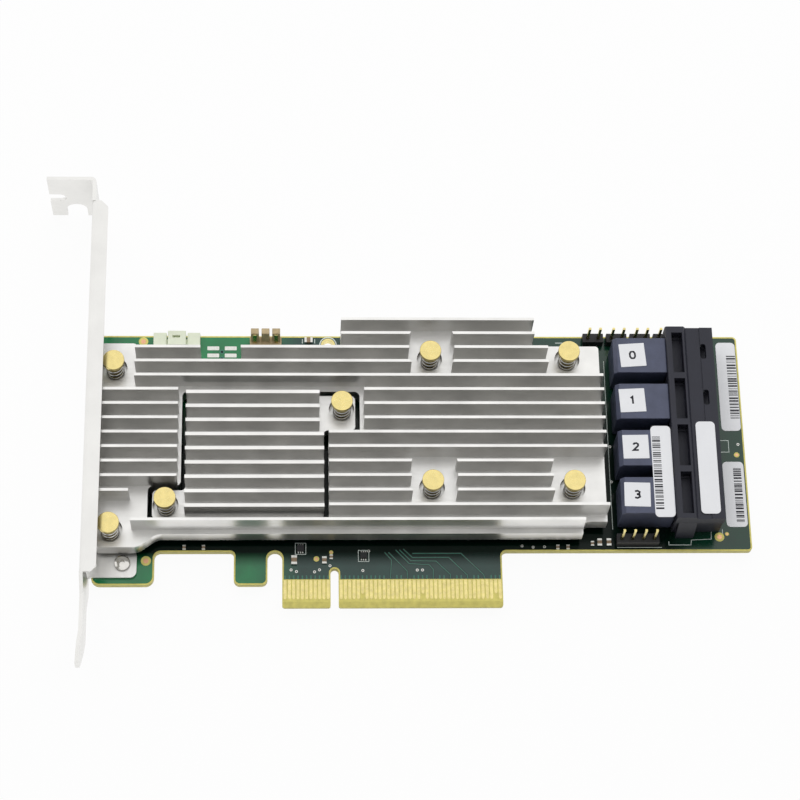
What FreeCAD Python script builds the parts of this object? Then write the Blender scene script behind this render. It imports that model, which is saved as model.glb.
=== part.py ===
"""Low-profile storage controller card on a full-height bracket.

Frame: +X runs from the bracket to the far end of the board, +Y from the edge contacts to the
opposite long edge, +Z out of the component side. The origin is the middle of the key notch, at the
lower edge of the contact tab and on the component face of the board. Lengths are millimetres.
"""
import FreeCAD, Part
import math
import os

V = FreeCAD.Vector

# ---------------------------------------------------------------- board
BOARD_THICKNESS = 1.57
BOARD_LEFT = -56.4
BOARD_RIGHT = 98.4
SHOULDER_Y = 13.6            # board edge on both sides of the contact tab
FOOT_Y = 5.5                 # lower edge of the bracket foot and of the locating tab
FOOT_RIGHT = -41.9
LOCATOR_LEFT = -23.4
LOCATOR_RIGHT = -15.6
TAB_LEFT = -12.15            # contact tab
TAB_RIGHT = 39.15
KEY_WIDTH = 1.9
KEY_TOP = 9.4
BOARD_CORNER = 1.0
FOOT_CORNER = 2.0
FOOT_INNER_CORNER = 1.5
LOCATOR_CORNER = 1.4
TAB_CORNER = 0.6             # corners of the contact tab
KEY_CORNER = 0.5
TAB_INNER_CORNER = 1.2
BEVEL_LENGTH = 1.3           # lead-in bevel on the contact tab
BEVEL_DEPTH = 0.45

# ---------------------------------------------------------------- edge contacts
CONTACT_PITCH = 1.0
CONTACT_WIDTH = 0.7
CONTACT_THICKNESS = 0.05
CONTACT_TOP = 6.6
CONTACT_BOTTOM = 1.9
SHORT_CONTACT_BOTTOM = 3.2   # presence and sideband contacts mate last
FIRST_CONTACT_X = 1.5        # first contact on each side of the key
CONTACTS_BEFORE_KEY = 11
CONTACTS_AFTER_KEY = 38
SHORT_CONTACT_NUMBERS = (17, 31, 48)
BACK_SHORT_CONTACT_NUMBERS = (1,)
CONTACT_TIP = 0.28           # flat end of a contact's pointed tip

# ---------------------------------------------------------------- bracket
SHEET = 0.86
BRACKET_OUTER = -57.95       # outer face of the plate
PLATE_LOW = -3.85            # lower long edge
PLATE_WIDTH = 18.42
FLANGE_REACH = 3.85          # stiffening flange, from the outer face
FLANGE_BOTTOM = 3.9
FLANGE_TOP = 98.1
FLANGE_TOP_CUT = 1.6         # corner cuts at the flange's two ends
FLANGE_BOTTOM_CUT = 1.4
BRACKET_TOP = 104.5
BRACKET_LENGTH = 120.02
EAR_REACH = 11.15            # screw ear, from the outer face
TAIL_WIDTH = 10.19
TAIL_TIP_LENGTH = 7.0
TAIL_TIP_OFFSET = 0.9        # the tip leans outward
TAIL_TAPER_LENGTH = 4.0
TAIL_TAPER = 3.2
TAIL_CORNER = 1.5
TAIL_SHOULDER_CORNER = 1.0
TAIL_TAPER_CORNER = 2.0
BEND_INSIDE = 0.4
TAB_REACH = 12.05            # board tabs, from the outer face
TAB_WIDTH = 6.8
TAB_CENTRES = (10.45, 50.0)
TAB_RELIEF = 0.4             # plate opening left round each folded tab
TAB_END_CORNER = 1.5
SCREW_FROM_OUTER = 8.75
NOTCH_CENTRE = -4.95         # ear screw notch, from the outer face
NOTCH_WIDTH = 4.95
NOTCH_DEPTH = 5.95
EAR_SLOT_LENGTH = 4.0
EAR_SLOT_WIDTH = 3.4
EAR_SLOT_CENTRE = 5.35       # height of the slot in the ear's free end
VENT_FLATS = 3.9             # hexagonal vents
VENT_PITCH = 5.0
VENT_ROWS = 3
VENT_FIRST_Y = 18.6
VENT_LAST_Y = 96.0

# ---------------------------------------------------------------- screws and nuts
SCREW_RADIUS = 1.3
SCREW_HEAD_RADIUS = 1.85
SCREW_HEAD_HEIGHT = 1.3
SOCKET_FLATS = 1.2
SOCKET_DEPTH = 0.8
SCREW_CLEARANCE = 0.15
SCREW_DOME_RADIUS = 1.2      # flat top of the domed head
SCREW_SIDE_HEIGHT = 0.6      # straight side of the head
NUT_FLATS = 4.6
NUT_HEIGHT = 1.5

# ---------------------------------------------------------------- heatsinks
BASE_BOTTOM = 2.2            # main heatsink base above the board
BASE_TOP = 6.4
FIN_TOP = 12.8
FIN_THICKNESS = 0.68
FIN_PITCH = 3.615
FIRST_FIN_Y = 17.07
FIN_COUNT = 15
SINK_LEFT = -55.3
SINK_RIGHT = 63.6
SINK_FRONT = 15.7
FRONT_PAD_Y = 12.5           # front edge of the lower left pad
FRONT_PAD_RIGHT = -45.4      # where its slanting side starts and ends
FRONT_PAD_SLOPE_END = -41.2
FRONT_PAD_CORNER = 4.0
CORNER_PAD_RIGHT = -46.9     # right edge of both left pads
CORNER_PAD_BACK = 64.0
CORNER_PAD_CORNER = 1.5
RIGHT_PAD_FRONT = 18.6       # edges of the two right pads
RIGHT_PAD_BACK = 63.4
RIGHT_PAD_CORNER = 1.6
BASE_LIP = 0.2               # base beyond the last fin of each row
SINK_EDGE = 0.8
STEP_LEFT = 1.7              # the back step that overhangs the board's edge parts
STEP_RIGHT = 47.7
NOTCH_LEFT = -31.5           # back notch beside the cache connector
NOTCH_RIGHT = -22.0
PAD_LEFT = 50.8              # left edge of both right pads
MIDDLE_PADS = (17.8, 28.5)
BACK_POCKET_CORNER = 3.2
FRONT_POCKET_CORNER = 2.4
CORE_BAY_LEFT = -36.5        # fins end here beside the controller heatsink
CORE_BAY_RIGHT = -1.4
TAB_BAY_LEFT = -44.5
PAD_FIN_RIGHT = -47.5        # the fin behind the front pad ends here
TAB_BAY_RIGHT = 7.0
FRONT_FIN_RIGHT = 57.8

CORE_BOTTOM = 3.4            # controller heatsink
CORE_FIN_TOP = 12.3
CORE_FIN_THICKNESS = 0.85
CORE_FIN_PITCH = 3.55
CORE_FIN_COUNT = 9
CORE_LEFT = -34.7
CORE_RIGHT = -2.45
CORE_FRONT = 19.6
CORE_BACK = 50.4
CORE_TAB_LEFT = -42.3
CORE_TAB_RIGHT = 5.0
CORE_LEFT_TAB_BACK = 26.5
CORE_RIGHT_TAB_FRONT = 41.6
CORE_CORNER = 1.0
CORE_EDGE = 0.6              # base in front of the first fin
CORE_FIN_STEP = 1.0          # fins beside the back tab end short by this
WINDOW_GAP = 1.1             # round the controller heatsink

# ---------------------------------------------------------------- spring pins
MAIN_PINS = ((-51.9, 57.4), (-52.0, 16.75), (22.9, 60.0), (22.8, 27.1), (55.9, 59.9), (55.8, 27.0))
CORE_PINS = ((-39.2, 22.8), (1.8, 47.0))
PIN_HEAD_RADIUS = 2.55
PIN_HEAD_HEIGHT = 1.1
PIN_TOP = 11.75
PIN_SHAFT_RADIUS = 1.15
PIN_HOLE_CLEARANCE = 0.35
PIN_BARB_RADIUS = 1.85
PIN_BARB_LENGTH = 1.85
PIN_BARB_TIP_RADIUS = 0.8
PIN_BARB_GAP = 0.08          # between the barb and the back of the board
PIN_SPLIT = 0.45
SEAT_RADIUS = 3.0            # counterbore that holds the spring
SEAT_DEPTH = 2.0
SPRING_RADIUS = 2.0
SPRING_WIRE = 0.5
SPRING_TURNS = 3.5
SPRING_SIDES = 7             # straight stretches in one turn

# ---------------------------------------------------------------- chips under the heatsinks
PACKAGE_SIZE = 27.0
SUBSTRATE_THICKNESS = 1.3
LID_SIZE = 22.0
LID_THICKNESS = 1.65
MEMORY_SIZE = (7.5, 12.5, 1.2)
MEMORY_PLACES = ((12.0, 25.5), (12.0, 39.5), (12.0, 53.5), (35.0, 33.0), (35.0, 47.0))
MEMORY_PAD_MARGIN = 0.3      # thermal pad beyond the chip on each side
COIL_SIZE = (6.4, 6.4, 2.0)
COIL_PLACES = ((45.0, 24.5), (45.0, 36.5), (45.0, 48.5))
FLASH_SIZE = (5.3, 7.8, 1.7)
FLASH_PLACE = (57.0, 44.0)

# ---------------------------------------------------------------- port connector
PORT_COUNT = 4
PORT_PITCH = 11.9
FIRST_PORT_FROM_EDGE = 10.25     # middle of the first port behind the board's front edge
HOUSING_BACK_X = 79.3
HOUSING_LENGTH = 11.4
HOUSING_FRONT_WALL = 1.05    # outer wall beyond the first mouth
HOUSING_BACK_WALL = 2.2      # outer wall beyond the last mouth
HOUSING_RECESS = 0.5         # lower stretch of the outer walls
HOUSING_RECESS_TOP = 7.2
HOUSING_TOP = 10.0
MOUTH_WIDTH = 9.9
MOUTH_BOTTOM = 2.0
MOUTH_TOP = 8.5
COLLAR_LENGTH = 4.4
COLLAR_TOP = 10.9
COLLAR_REAR_CORNER = 0.5
COLLAR_FRONT_CORNER = 0.3
COLLAR_SLOPE = 0.6
LIP_LENGTH = 3.1
LIP_TOP = 10.22
WINDOW_START = 1.4           # latch window behind the collar's rear edge
WINDOW_LENGTH = 2.6
WINDOW_WIDTH = 10.4
WINDOW_SHIFT = 0.35          # towards +Y, from the port's middle
WINDOW_SINK = 0.5            # windows and slots break this far into the mouths
LATCH_SLOT = (1.4, 3.9)
LATCH_SLOT_CORNER = 0.6
LATCH_SLOT_SHIFT = 0.9
LATCH_SLOT_FROM_FRONT = 1.8
LEG_START = 0.9              # stiffening leg under the front wall, from the housing's rear
LEG_LENGTH = 4.3
LEG_SPREAD = 1.6             # how far its foot stands out
LEG_FOOT_HEIGHT = 0.8
BODY_LENGTH = 12.6
BODY_WIDTH = 9.0
BODY_STANDOFF = 0.25
BODY_CHAMFER = 0.9
NOSE_LENGTH = 5.2
NOSE_WIDTH = 7.8
NOSE_HEIGHT = 4.4
NOSE_CORNER = 0.4
CARD_SLOT = (6.9, 0.8)
CARD_SLOT_SPACING = 2.1
CARD_SLOT_FLOOR = 1.0        # from the root of the nose
CONTACTS_PER_ROW = 9
PORT_CONTACT_PITCH = 0.75
PORT_CONTACT = (0.3, 0.15)   # width and thickness
PORT_CONTACT_SETBACK = 0.4   # behind the end of the nose
SOLDER_TAIL = (0.35, 0.35, 1.15)
SOLDER_ROWS_FROM_BACK = (2.0, 4.4)
SOLDER_STAGGER = 0.8

# ---------------------------------------------------------------- headers and edge parts
EDGE_ROOM = 2.2              # board beyond the port row, along its back edge
HEADER_PITCH = 2.54
HEADER_PIN = 0.64
HEADER_BODY_DEPTH = 2.3
HEADER_BODY_HEIGHT = 2.5
HEADER_PIN_TOP = 7.8
HEADER_TAIL = 1.3
HEADER_PLAY = 0.1            # between neighbouring header bodies
BACK_HEADER_FROM_EDGE = 1.4
BACK_HEADER_FIRST_X = 63.0
BACK_HEADER_SPACING = 5.73
BACK_HEADER_COUNT = 4
FRONT_HEADER_X = 71.15
FRONT_HEADER_FROM_EDGE = 2.35
FRONT_HEADER_PIN_COUNT = 4
PIN_PLAY = 0.1               # square clearance round each header pin

CACHE_LEFT = -43.2           # cache module connector
CACHE_RIGHT = -32.0
CACHE_DEPTH = 3.7            # from the board's back edge
CACHE_SIDE_HEIGHT = 2.0
CACHE_MIDDLE = (-39.7, -35.4)
CACHE_MIDDLE_HEIGHT = 3.2
CACHE_GAP = 0.35             # between the middle and the two sides
CACHE_STEP = 0.3             # sides set back from the middle
CACHE_SPINE = (0.6, 1.6, 0.5)    # set-in, depth, and drop of the spine that joins them
CACHE_SLOT_ENDS = (1.1, 1.4)
CACHE_SLOT_WIDTH = 0.6
CACHE_SLOT_DEPTH = 1.2
CACHE_SLOT_FROM_FRONT = 1.9

POST_CENTRES = (-18.8, -16.25, -13.7)    # three-post jumper block
POST_WIDTH = 1.9
POST_DEPTH = 1.5
POST_HEIGHT = 6.6
POST_FROM_EDGE = 0.9         # behind the posts
POST_BASE_HEIGHT = 1.8
POST_BASE_REACH = (0.3, 0.7)     # base beyond the posts, to the sides and to the front
BLADE = (0.8, 0.25, 4.4)

PLATED_HOLE_X = -1.2
PLATED_HOLE_FROM_EDGE = 2.3
PLATED_HOLE_RADIUS = 1.15

# ---------------------------------------------------------------- small surface parts
# each place is x, and y from the shoulder's edge
LARGE_CERAMIC = (1.25, 2.1, 0.7)
LARGE_CERAMIC_PLACES = ((-9.4, -2.2),)
MEDIUM_CERAMIC = (1.0, 1.7, 0.5)
MEDIUM_CERAMIC_PLACES = ((-2.35, -2.2), (62.3, 2.1), (64.5, 2.1))
SMALL_CERAMIC = (0.7, 1.1, 0.4)
SMALL_CERAMIC_PLACES = ((-0.75, -1.4), (60.6, 1.8), (54.8, 0.9), (52.4, 0.9),
                        (-35.0, 1.0), (-30.5, 1.0))
SMALL_CHIP = (1.6, 1.4, 0.8)
SMALL_CHIP_PLACES = ((6.8, -1.1), (-7.9, 0.7))
CAPACITOR = (1.9, 1.25, 0.9)
CAPACITOR_X = -5.9
CAPACITOR_FROM_EDGE = 1.3
BACK_CERAMIC = (1.0, 0.5, 0.4)
BACK_GRID_COLUMNS = 5
BACK_GRID_ROWS = 5
BACK_GRID_PITCH = 3.4

# ---------------------------------------------------------------- worked out from the sizes above
PLATE_INNER = BRACKET_OUTER + SHEET
PLATE_HIGH = PLATE_LOW + PLATE_WIDTH
BOARD_UNDER = -BOARD_THICKNESS
CORE_CENTRE = ((CORE_LEFT + CORE_RIGHT) / 2, (CORE_FRONT + CORE_BACK) / 2)
SCREW_X = BRACKET_OUTER + SCREW_FROM_OUTER
PORT_YS = [SHOULDER_Y + FIRST_PORT_FROM_EDGE + index * PORT_PITCH for index in range(PORT_COUNT)]
HOUSING_LOW_Y = PORT_YS[0] - MOUTH_WIDTH / 2 - HOUSING_FRONT_WALL
HOUSING_HIGH_Y = PORT_YS[-1] + MOUTH_WIDTH / 2 + HOUSING_BACK_WALL
BOARD_BACK = HOUSING_HIGH_Y + EDGE_ROOM
PORT_MIDDLE_Z = (MOUTH_BOTTOM + MOUTH_TOP) / 2
PLATED_HOLE = (PLATED_HOLE_X, BOARD_BACK - PLATED_HOLE_FROM_EDGE)
BEYOND = 1.0                 # how far a cutting tool runs past what it cuts


# ================================================================ helpers
def box(x0, x1, y0, y1, z0, z1):
    return Part.makeBox(x1 - x0, y1 - y0, z1 - z0, V(x0, y0, z0))


def block(centre, size, z0):
    """A box of the given size, standing on height z0 over a centre point."""
    length, width, height = size
    x, y = centre
    return box(x - length / 2, x + length / 2, y - width / 2, y + width / 2, z0, z0 + height)


def cylinder(centre, radius, z0, z1):
    return Part.makeCylinder(radius, z1 - z0, V(centre[0], centre[1], z0))


def rounded_face(corners):
    """Face inside a closed outline in the XY plane. Each corner is (x, y, radius)."""
    points = [V(x, y, 0) for x, y, _ in corners]
    joints = []
    for index, (_, _, radius) in enumerate(corners):
        here = points[index]
        back = (points[index - 1] - here).normalize()
        ahead = (points[(index + 1) % len(points)] - here).normalize()
        if radius == 0:
            joints.append((here, None, here))
            continue
        half = back.getAngle(ahead) / 2
        centre = here + (back + ahead).normalize() * (radius / math.sin(half))
        reach = radius / math.tan(half)
        middle = centre + (here - centre).normalize() * radius
        joints.append((here + back * reach, middle, here + ahead * reach))
    edges = []
    for index, (start, middle, end) in enumerate(joints):
        if middle is not None:
            edges.append(Part.Arc(start, middle, end).toShape())
        following = joints[(index + 1) % len(joints)][0]
        if end.distanceToPoint(following) > 1e-6:
            edges.append(Part.LineSegment(end, following).toShape())
    return Part.Face(Part.Wire(edges))


def plate(corners, z0, z1):
    """Flat plate with a rounded outline, from height z0 to z1."""
    solid = rounded_face(corners).extrude(V(0, 0, z1 - z0))
    solid.translate(V(0, 0, z0))
    return solid


def upright(corners, x0, x1):
    """Plate across X. Each corner is (y, z, radius)."""
    solid = plate(corners, 0, x1 - x0)
    solid.transformShape(FreeCAD.Matrix(0, 0, 1, x0, 1, 0, 0, 0, 0, 1, 0, 0, 0, 0, 0, 1))
    return solid


def strip_along_y(corners, y0, y1):
    """Bar along Y. Each corner of its section is (z, x, radius)."""
    solid = plate(corners, 0, y1 - y0)
    solid.transformShape(FreeCAD.Matrix(0, 1, 0, 0, 0, 0, 1, y0, 1, 0, 0, 0, 0, 0, 0, 1))
    return solid


def rectangle(x0, x1, y0, y1, radius):
    return [(x0, y0, radius), (x1, y0, radius), (x1, y1, radius), (x0, y1, radius)]


def sharp(*points):
    """Corners with no radius."""
    return [(a, b, 0) for a, b in points]


def turned(outline):
    """Solid of revolution about Z. Each point of its closed outline is (radius, z)."""
    points = [V(radius, 0, z) for radius, z in outline]
    return Part.Face(Part.makePolygon(points + points[:1])).revolve(V(0, 0, 0), V(0, 0, 1), 360)


def fused(shapes):
    return shapes[0].multiFuse(shapes[1:]).removeSplitter()


def hexagon(centre, flats):
    radius = flats / math.sqrt(3)
    angles = [math.radians(60 * side) for side in range(6)]
    x, y = centre
    return sharp(*[(x + radius * math.cos(a), y + radius * math.sin(a)) for a in angles])


def save(name, shapes):
    """Write one node. A list becomes a group of separate solids."""
    shape = shapes
    if isinstance(shapes, list):
        shape = Part.makeCompound(shapes)
    elif len(shapes.Solids) == 1:
        shape = shapes.Solids[0]
    shape.exportStep("parts/" + name + ".step")


# ================================================================ board
def header_pin_groups():
    """Centres of the pins of each header, back row first."""
    groups = []
    for index in range(BACK_HEADER_COUNT):
        x = BACK_HEADER_FIRST_X + index * BACK_HEADER_SPACING
        y = BOARD_BACK - BACK_HEADER_FROM_EDGE
        groups.append([(x - HEADER_PITCH / 2, y), (x + HEADER_PITCH / 2, y)])
    first = FRONT_HEADER_X - (FRONT_HEADER_PIN_COUNT - 1) / 2 * HEADER_PITCH
    y = SHOULDER_Y + FRONT_HEADER_FROM_EDGE
    groups.append([(first + index * HEADER_PITCH, y) for index in range(FRONT_HEADER_PIN_COUNT)])
    return groups


def header_pin_places():
    return [place for group in header_pin_groups() for place in group]


def board_outline():
    key = KEY_WIDTH / 2
    bay = (TAB_LEFT - LOCATOR_RIGHT) / 2
    return [
        (BOARD_LEFT, FOOT_Y, FOOT_CORNER),
        (FOOT_RIGHT, FOOT_Y, FOOT_CORNER),
        (FOOT_RIGHT, SHOULDER_Y, FOOT_INNER_CORNER),
        (LOCATOR_LEFT, SHOULDER_Y, BOARD_CORNER),
        (LOCATOR_LEFT, FOOT_Y, LOCATOR_CORNER),
        (LOCATOR_RIGHT, FOOT_Y, LOCATOR_CORNER),
        (LOCATOR_RIGHT, SHOULDER_Y, bay),
        (TAB_LEFT, SHOULDER_Y, bay),
        (TAB_LEFT, 0, TAB_CORNER),
        (-key, 0, KEY_CORNER),
        (-key, KEY_TOP, key),
        (key, KEY_TOP, key),
        (key, 0, KEY_CORNER),
        (TAB_RIGHT, 0, TAB_CORNER),
        (TAB_RIGHT, SHOULDER_Y, TAB_INNER_CORNER),
        (BOARD_RIGHT, SHOULDER_Y, BOARD_CORNER),
        (BOARD_RIGHT, BOARD_BACK, BOARD_CORNER),
        (BOARD_LEFT, BOARD_BACK, BOARD_CORNER)]


def make_board():
    cuts = []
    for face, inward in ((0, -1), (BOARD_UNDER, 1)):
        start = TAB_LEFT - BEYOND
        tip = V(start, 0, face)
        back, edge = V(start, BEVEL_LENGTH, face), V(start, 0, face + inward * BEVEL_DEPTH)
        wedge = Part.makePolygon([tip, back, edge, tip])
        cuts.append(Part.Face(wedge).extrude(V(TAB_RIGHT + BEYOND - start, 0, 0)))
    holes = [(place, PIN_SHAFT_RADIUS + PIN_HOLE_CLEARANCE) for place in MAIN_PINS + CORE_PINS]
    holes += [((SCREW_X, y), SCREW_RADIUS + SCREW_CLEARANCE) for y in TAB_CENTRES]
    holes.append((PLATED_HOLE, PLATED_HOLE_RADIUS))
    cuts += [cylinder(place, radius, BOARD_UNDER - BEYOND, BEYOND) for place, radius in holes]
    play = HEADER_PIN + 2 * PIN_PLAY
    drill = (play, play, BOARD_THICKNESS + 2 * BEYOND)
    cuts += [block(place, drill, BOARD_UNDER - BEYOND) for place in header_pin_places()]
    return plate(board_outline(), BOARD_UNDER, 0).cut(cuts)


def contact_columns():
    """Number and centre of every edge contact on one side."""
    for index in range(CONTACTS_BEFORE_KEY):
        yield index + 1, -FIRST_CONTACT_X - (CONTACTS_BEFORE_KEY - 1 - index) * CONTACT_PITCH
    for index in range(CONTACTS_AFTER_KEY):
        yield CONTACTS_BEFORE_KEY + 1 + index, FIRST_CONTACT_X + index * CONTACT_PITCH


def make_contacts(z0, short_numbers):
    """Row of contacts with pointed tips."""
    side = CONTACT_WIDTH / 2
    tip = CONTACT_TIP / 2
    contacts = []
    for number, x in contact_columns():
        low = SHORT_CONTACT_BOTTOM if number in short_numbers else CONTACT_BOTTOM
        outline = sharp((x - side, CONTACT_TOP), (x - side, low + side), (x - tip, low),
                        (x + tip, low), (x + side, low + side), (x + side, CONTACT_TOP))
        contacts.append(plate(outline, z0, z0 + CONTACT_THICKNESS))
    return contacts


# ================================================================ bracket
def vent_places():
    """Centres (y, z) of the staggered vents, clear of the board tabs' openings."""
    row_step = VENT_PITCH * math.sqrt(3) / 2
    middle = PLATE_LOW + (PLATE_WIDTH - SHEET) / 2
    clear = TAB_WIDTH / 2 + TAB_RELIEF + VENT_PITCH
    for row in range(VENT_ROWS):
        z = middle + (row - (VENT_ROWS - 1) / 2) * row_step
        y = VENT_FIRST_Y + (VENT_PITCH / 2 if row % 2 else 0)
        while y <= VENT_LAST_Y:
            if all(abs(y - centre) >= clear for centre in TAB_CENTRES):
                yield y, z
            y += VENT_PITCH


def make_channel():
    """Plate with its stiffening flange, which has a corner cut at each end."""
    bend_outside = BEND_INSIDE + SHEET
    tip = BRACKET_OUTER + FLANGE_REACH
    beyond = tip + BEYOND
    inside = PLATE_HIGH - SHEET
    channel = strip_along_y([
        (PLATE_LOW, BRACKET_OUTER, 0),
        (PLATE_HIGH, BRACKET_OUTER, bend_outside),
        (PLATE_HIGH, tip, 0),
        (inside, tip, 0),
        (inside, PLATE_INNER, BEND_INSIDE),
        (PLATE_LOW, PLATE_INNER, 0)], FLANGE_BOTTOM, FLANGE_TOP)
    top = FLANGE_TOP_CUT
    top_cut = sharp((beyond, FLANGE_TOP + BEYOND), (tip - top, FLANGE_TOP + BEYOND),
                    (tip - top, FLANGE_TOP), (tip, FLANGE_TOP - top), (beyond, FLANGE_TOP - top))
    low = FLANGE_BOTTOM_CUT
    low_cut = sharp((beyond, FLANGE_BOTTOM - BEYOND), (beyond, FLANGE_BOTTOM + low),
                    (tip, FLANGE_BOTTOM + low), (tip - low, FLANGE_BOTTOM),
                    (tip - low, FLANGE_BOTTOM - BEYOND))
    return channel.cut([plate(cut, inside, PLATE_HIGH) for cut in (top_cut, low_cut)])


def make_ear():
    """Top of the plate and the screw ear bent outward from it."""
    tip = BRACKET_OUTER - EAR_REACH
    underside = BRACKET_TOP - SHEET
    ear = plate([
        (BRACKET_OUTER, FLANGE_TOP, 0),
        (PLATE_INNER, FLANGE_TOP, 0),
        (PLATE_INNER, BRACKET_TOP, BEND_INSIDE + SHEET),
        (tip, BRACKET_TOP, 0),
        (tip, underside, 0),
        (BRACKET_OUTER, underside, BEND_INSIDE)], PLATE_LOW, PLATE_HIGH)
    low, high = underside - BEYOND, BRACKET_TOP + BEYOND
    slot_half = EAR_SLOT_WIDTH / 2
    slot_end = tip + EAR_SLOT_LENGTH - slot_half
    notch_x = BRACKET_OUTER + NOTCH_CENTRE
    notch_half = NOTCH_WIDTH / 2
    notch_end = PLATE_LOW + NOTCH_DEPTH - notch_half
    return ear.cut([
        box(tip - BEYOND, slot_end, low, high,
            EAR_SLOT_CENTRE - slot_half, EAR_SLOT_CENTRE + slot_half),
        Part.makeCylinder(slot_half, high - low, V(slot_end, low, EAR_SLOT_CENTRE), V(0, 1, 0)),
        box(notch_x - notch_half, notch_x + notch_half, low, high, PLATE_LOW - BEYOND, notch_end),
        Part.makeCylinder(notch_half, high - low, V(notch_x, low, notch_end), V(0, 1, 0))])


def make_tail():
    """Narrow lower end that leans outward to its tip."""
    tip = BRACKET_TOP - BRACKET_LENGTH
    straight_end = tip + TAIL_TIP_LENGTH
    leaning = BRACKET_OUTER - TAIL_TIP_OFFSET
    side = sharp((PLATE_INNER, FLANGE_BOTTOM), (BRACKET_OUTER, FLANGE_BOTTOM),
                 (BRACKET_OUTER, straight_end), (leaning, tip), (leaning + SHEET, tip),
                 (PLATE_INNER, straight_end))
    tail = plate(side, PLATE_LOW, PLATE_HIGH)
    shoulder = (PLATE_WIDTH - TAIL_WIDTH) / 2
    low, high = PLATE_LOW + shoulder, PLATE_HIGH - shoulder
    outline = [
        (FLANGE_BOTTOM, PLATE_LOW, 0),
        (FLANGE_BOTTOM, PLATE_HIGH, 0),
        (FLANGE_BOTTOM - shoulder, high, TAIL_SHOULDER_CORNER),
        (tip + TAIL_TAPER_LENGTH, high, TAIL_TAPER_CORNER),
        (tip, high - TAIL_TAPER, TAIL_CORNER),
        (tip, low + TAIL_TAPER, TAIL_CORNER),
        (tip + TAIL_TAPER_LENGTH, low, TAIL_TAPER_CORNER),
        (FLANGE_BOTTOM - shoulder, low, TAIL_SHOULDER_CORNER)]
    return tail.common(upright(outline, leaning - BEYOND, PLATE_INNER + BEYOND))


def make_bracket():
    tabs = []
    openings = []
    end = BRACKET_OUTER + TAB_REACH
    for y in TAB_CENTRES:
        low, high = y - TAB_WIDTH / 2, y + TAB_WIDTH / 2
        outline = [(BRACKET_OUTER, low, 0), (end, low, TAB_END_CORNER), (end, high, TAB_END_CORNER),
                   (BRACKET_OUTER, high, 0)]
        hole = cylinder((SCREW_X, y), SCREW_RADIUS + SCREW_CLEARANCE, -BEYOND, SHEET + BEYOND)
        tabs.append(plate(outline, 0, SHEET).cut(hole))
        openings.append(box(BRACKET_OUTER - BEYOND, PLATE_INNER + BEYOND, low - TAB_RELIEF,
                            high + TAB_RELIEF, SHEET, TAB_REACH - TAB_RELIEF))
    vents = [upright(hexagon(place, VENT_FLATS), BRACKET_OUTER - BEYOND, PLATE_INNER + BEYOND)
             for place in vent_places()]
    body = fused([make_channel(), make_ear(), make_tail()])
    return fused([body.cut(openings + vents)] + tabs)


def make_screw(y):
    """Domed head with a hexagon socket, and a plain shank through tab, board and nut."""
    top = SHEET + SCREW_HEAD_HEIGHT
    low = BOARD_UNDER - NUT_HEIGHT
    screw = turned([(0, low), (SCREW_RADIUS, low), (SCREW_RADIUS, SHEET),
                    (SCREW_HEAD_RADIUS, SHEET), (SCREW_HEAD_RADIUS, SHEET + SCREW_SIDE_HEIGHT),
                    (SCREW_DOME_RADIUS, top), (0, top)])
    screw = screw.cut(plate(hexagon((0, 0), SOCKET_FLATS), top - SOCKET_DEPTH, top + BEYOND))
    screw.translate(V(SCREW_X, y, 0))
    return screw


def make_nut(y):
    place = (SCREW_X, y)
    low = BOARD_UNDER - NUT_HEIGHT
    nut = plate(hexagon(place, NUT_FLATS), low, BOARD_UNDER)
    return nut.cut(cylinder(place, SCREW_RADIUS, low - BEYOND, BOARD_UNDER + BEYOND))


# ================================================================ heatsinks
def core_outline(gap):
    """Outline of the controller heatsink, grown by a gap: a rectangle with two corner tabs."""
    radius = CORE_CORNER + gap / 4
    return [(CORE_TAB_LEFT - gap, CORE_FRONT - gap, radius),
            (CORE_RIGHT + gap, CORE_FRONT - gap, radius),
            (CORE_RIGHT + gap, CORE_RIGHT_TAB_FRONT - gap, radius),
            (CORE_TAB_RIGHT + gap, CORE_RIGHT_TAB_FRONT - gap, radius),
            (CORE_TAB_RIGHT + gap, CORE_BACK + gap, radius),
            (CORE_LEFT - gap, CORE_BACK + gap, radius),
            (CORE_LEFT - gap, CORE_LEFT_TAB_BACK + gap, radius),
            (CORE_TAB_LEFT - gap, CORE_LEFT_TAB_BACK + gap, radius)]


def fin_row(index):
    return FIRST_FIN_Y + index * FIN_PITCH


def between(row):
    """Halfway in Y between a fin row and the next one."""
    return fin_row(row + 0.5)


def fin_clearings():
    """Outlines in which the fins are milled down to the base."""
    left, right = SINK_LEFT - BEYOND, SINK_RIGHT + BEYOND
    front, back = fin_row(-1), fin_row(FIN_COUNT)
    last = FIN_COUNT - 1
    return [
        rectangle(left, CORNER_PAD_RIGHT, between(last - 5), back, 0),
        rectangle(left, CORNER_PAD_RIGHT, front, between(1), 0),
        rectangle(left, TAB_BAY_LEFT, between(0), between(1), 0),
        rectangle(PAD_FIN_RIGHT, CORE_BAY_LEFT + BEYOND, between(0), between(2), 0),
        rectangle(CORE_BAY_LEFT, CORE_BAY_RIGHT, between(0), between(last - 5), 0),
        rectangle(CORE_BAY_RIGHT - BEYOND, TAB_BAY_RIGHT, between(last - 8), between(last - 5), 0),
        rectangle(*MIDDLE_PADS, between(last - 4), between(last - 1), BACK_POCKET_CORNER),
        rectangle(*MIDDLE_PADS, between(1), between(4), FRONT_POCKET_CORNER),
        rectangle(PAD_LEFT, right, between(last - 4), back, 0),
        rectangle(PAD_LEFT, right, between(1), between(4), FRONT_POCKET_CORNER),
        rectangle(FRONT_FIN_RIGHT, right, front, between(0), 0),
        rectangle(NOTCH_LEFT, NOTCH_RIGHT, between(last - 3), back, 0),
        rectangle(left, STEP_LEFT, between(last - 2), back, 0),
        rectangle(STEP_RIGHT, right, between(last - 2), back, 0)]


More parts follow.
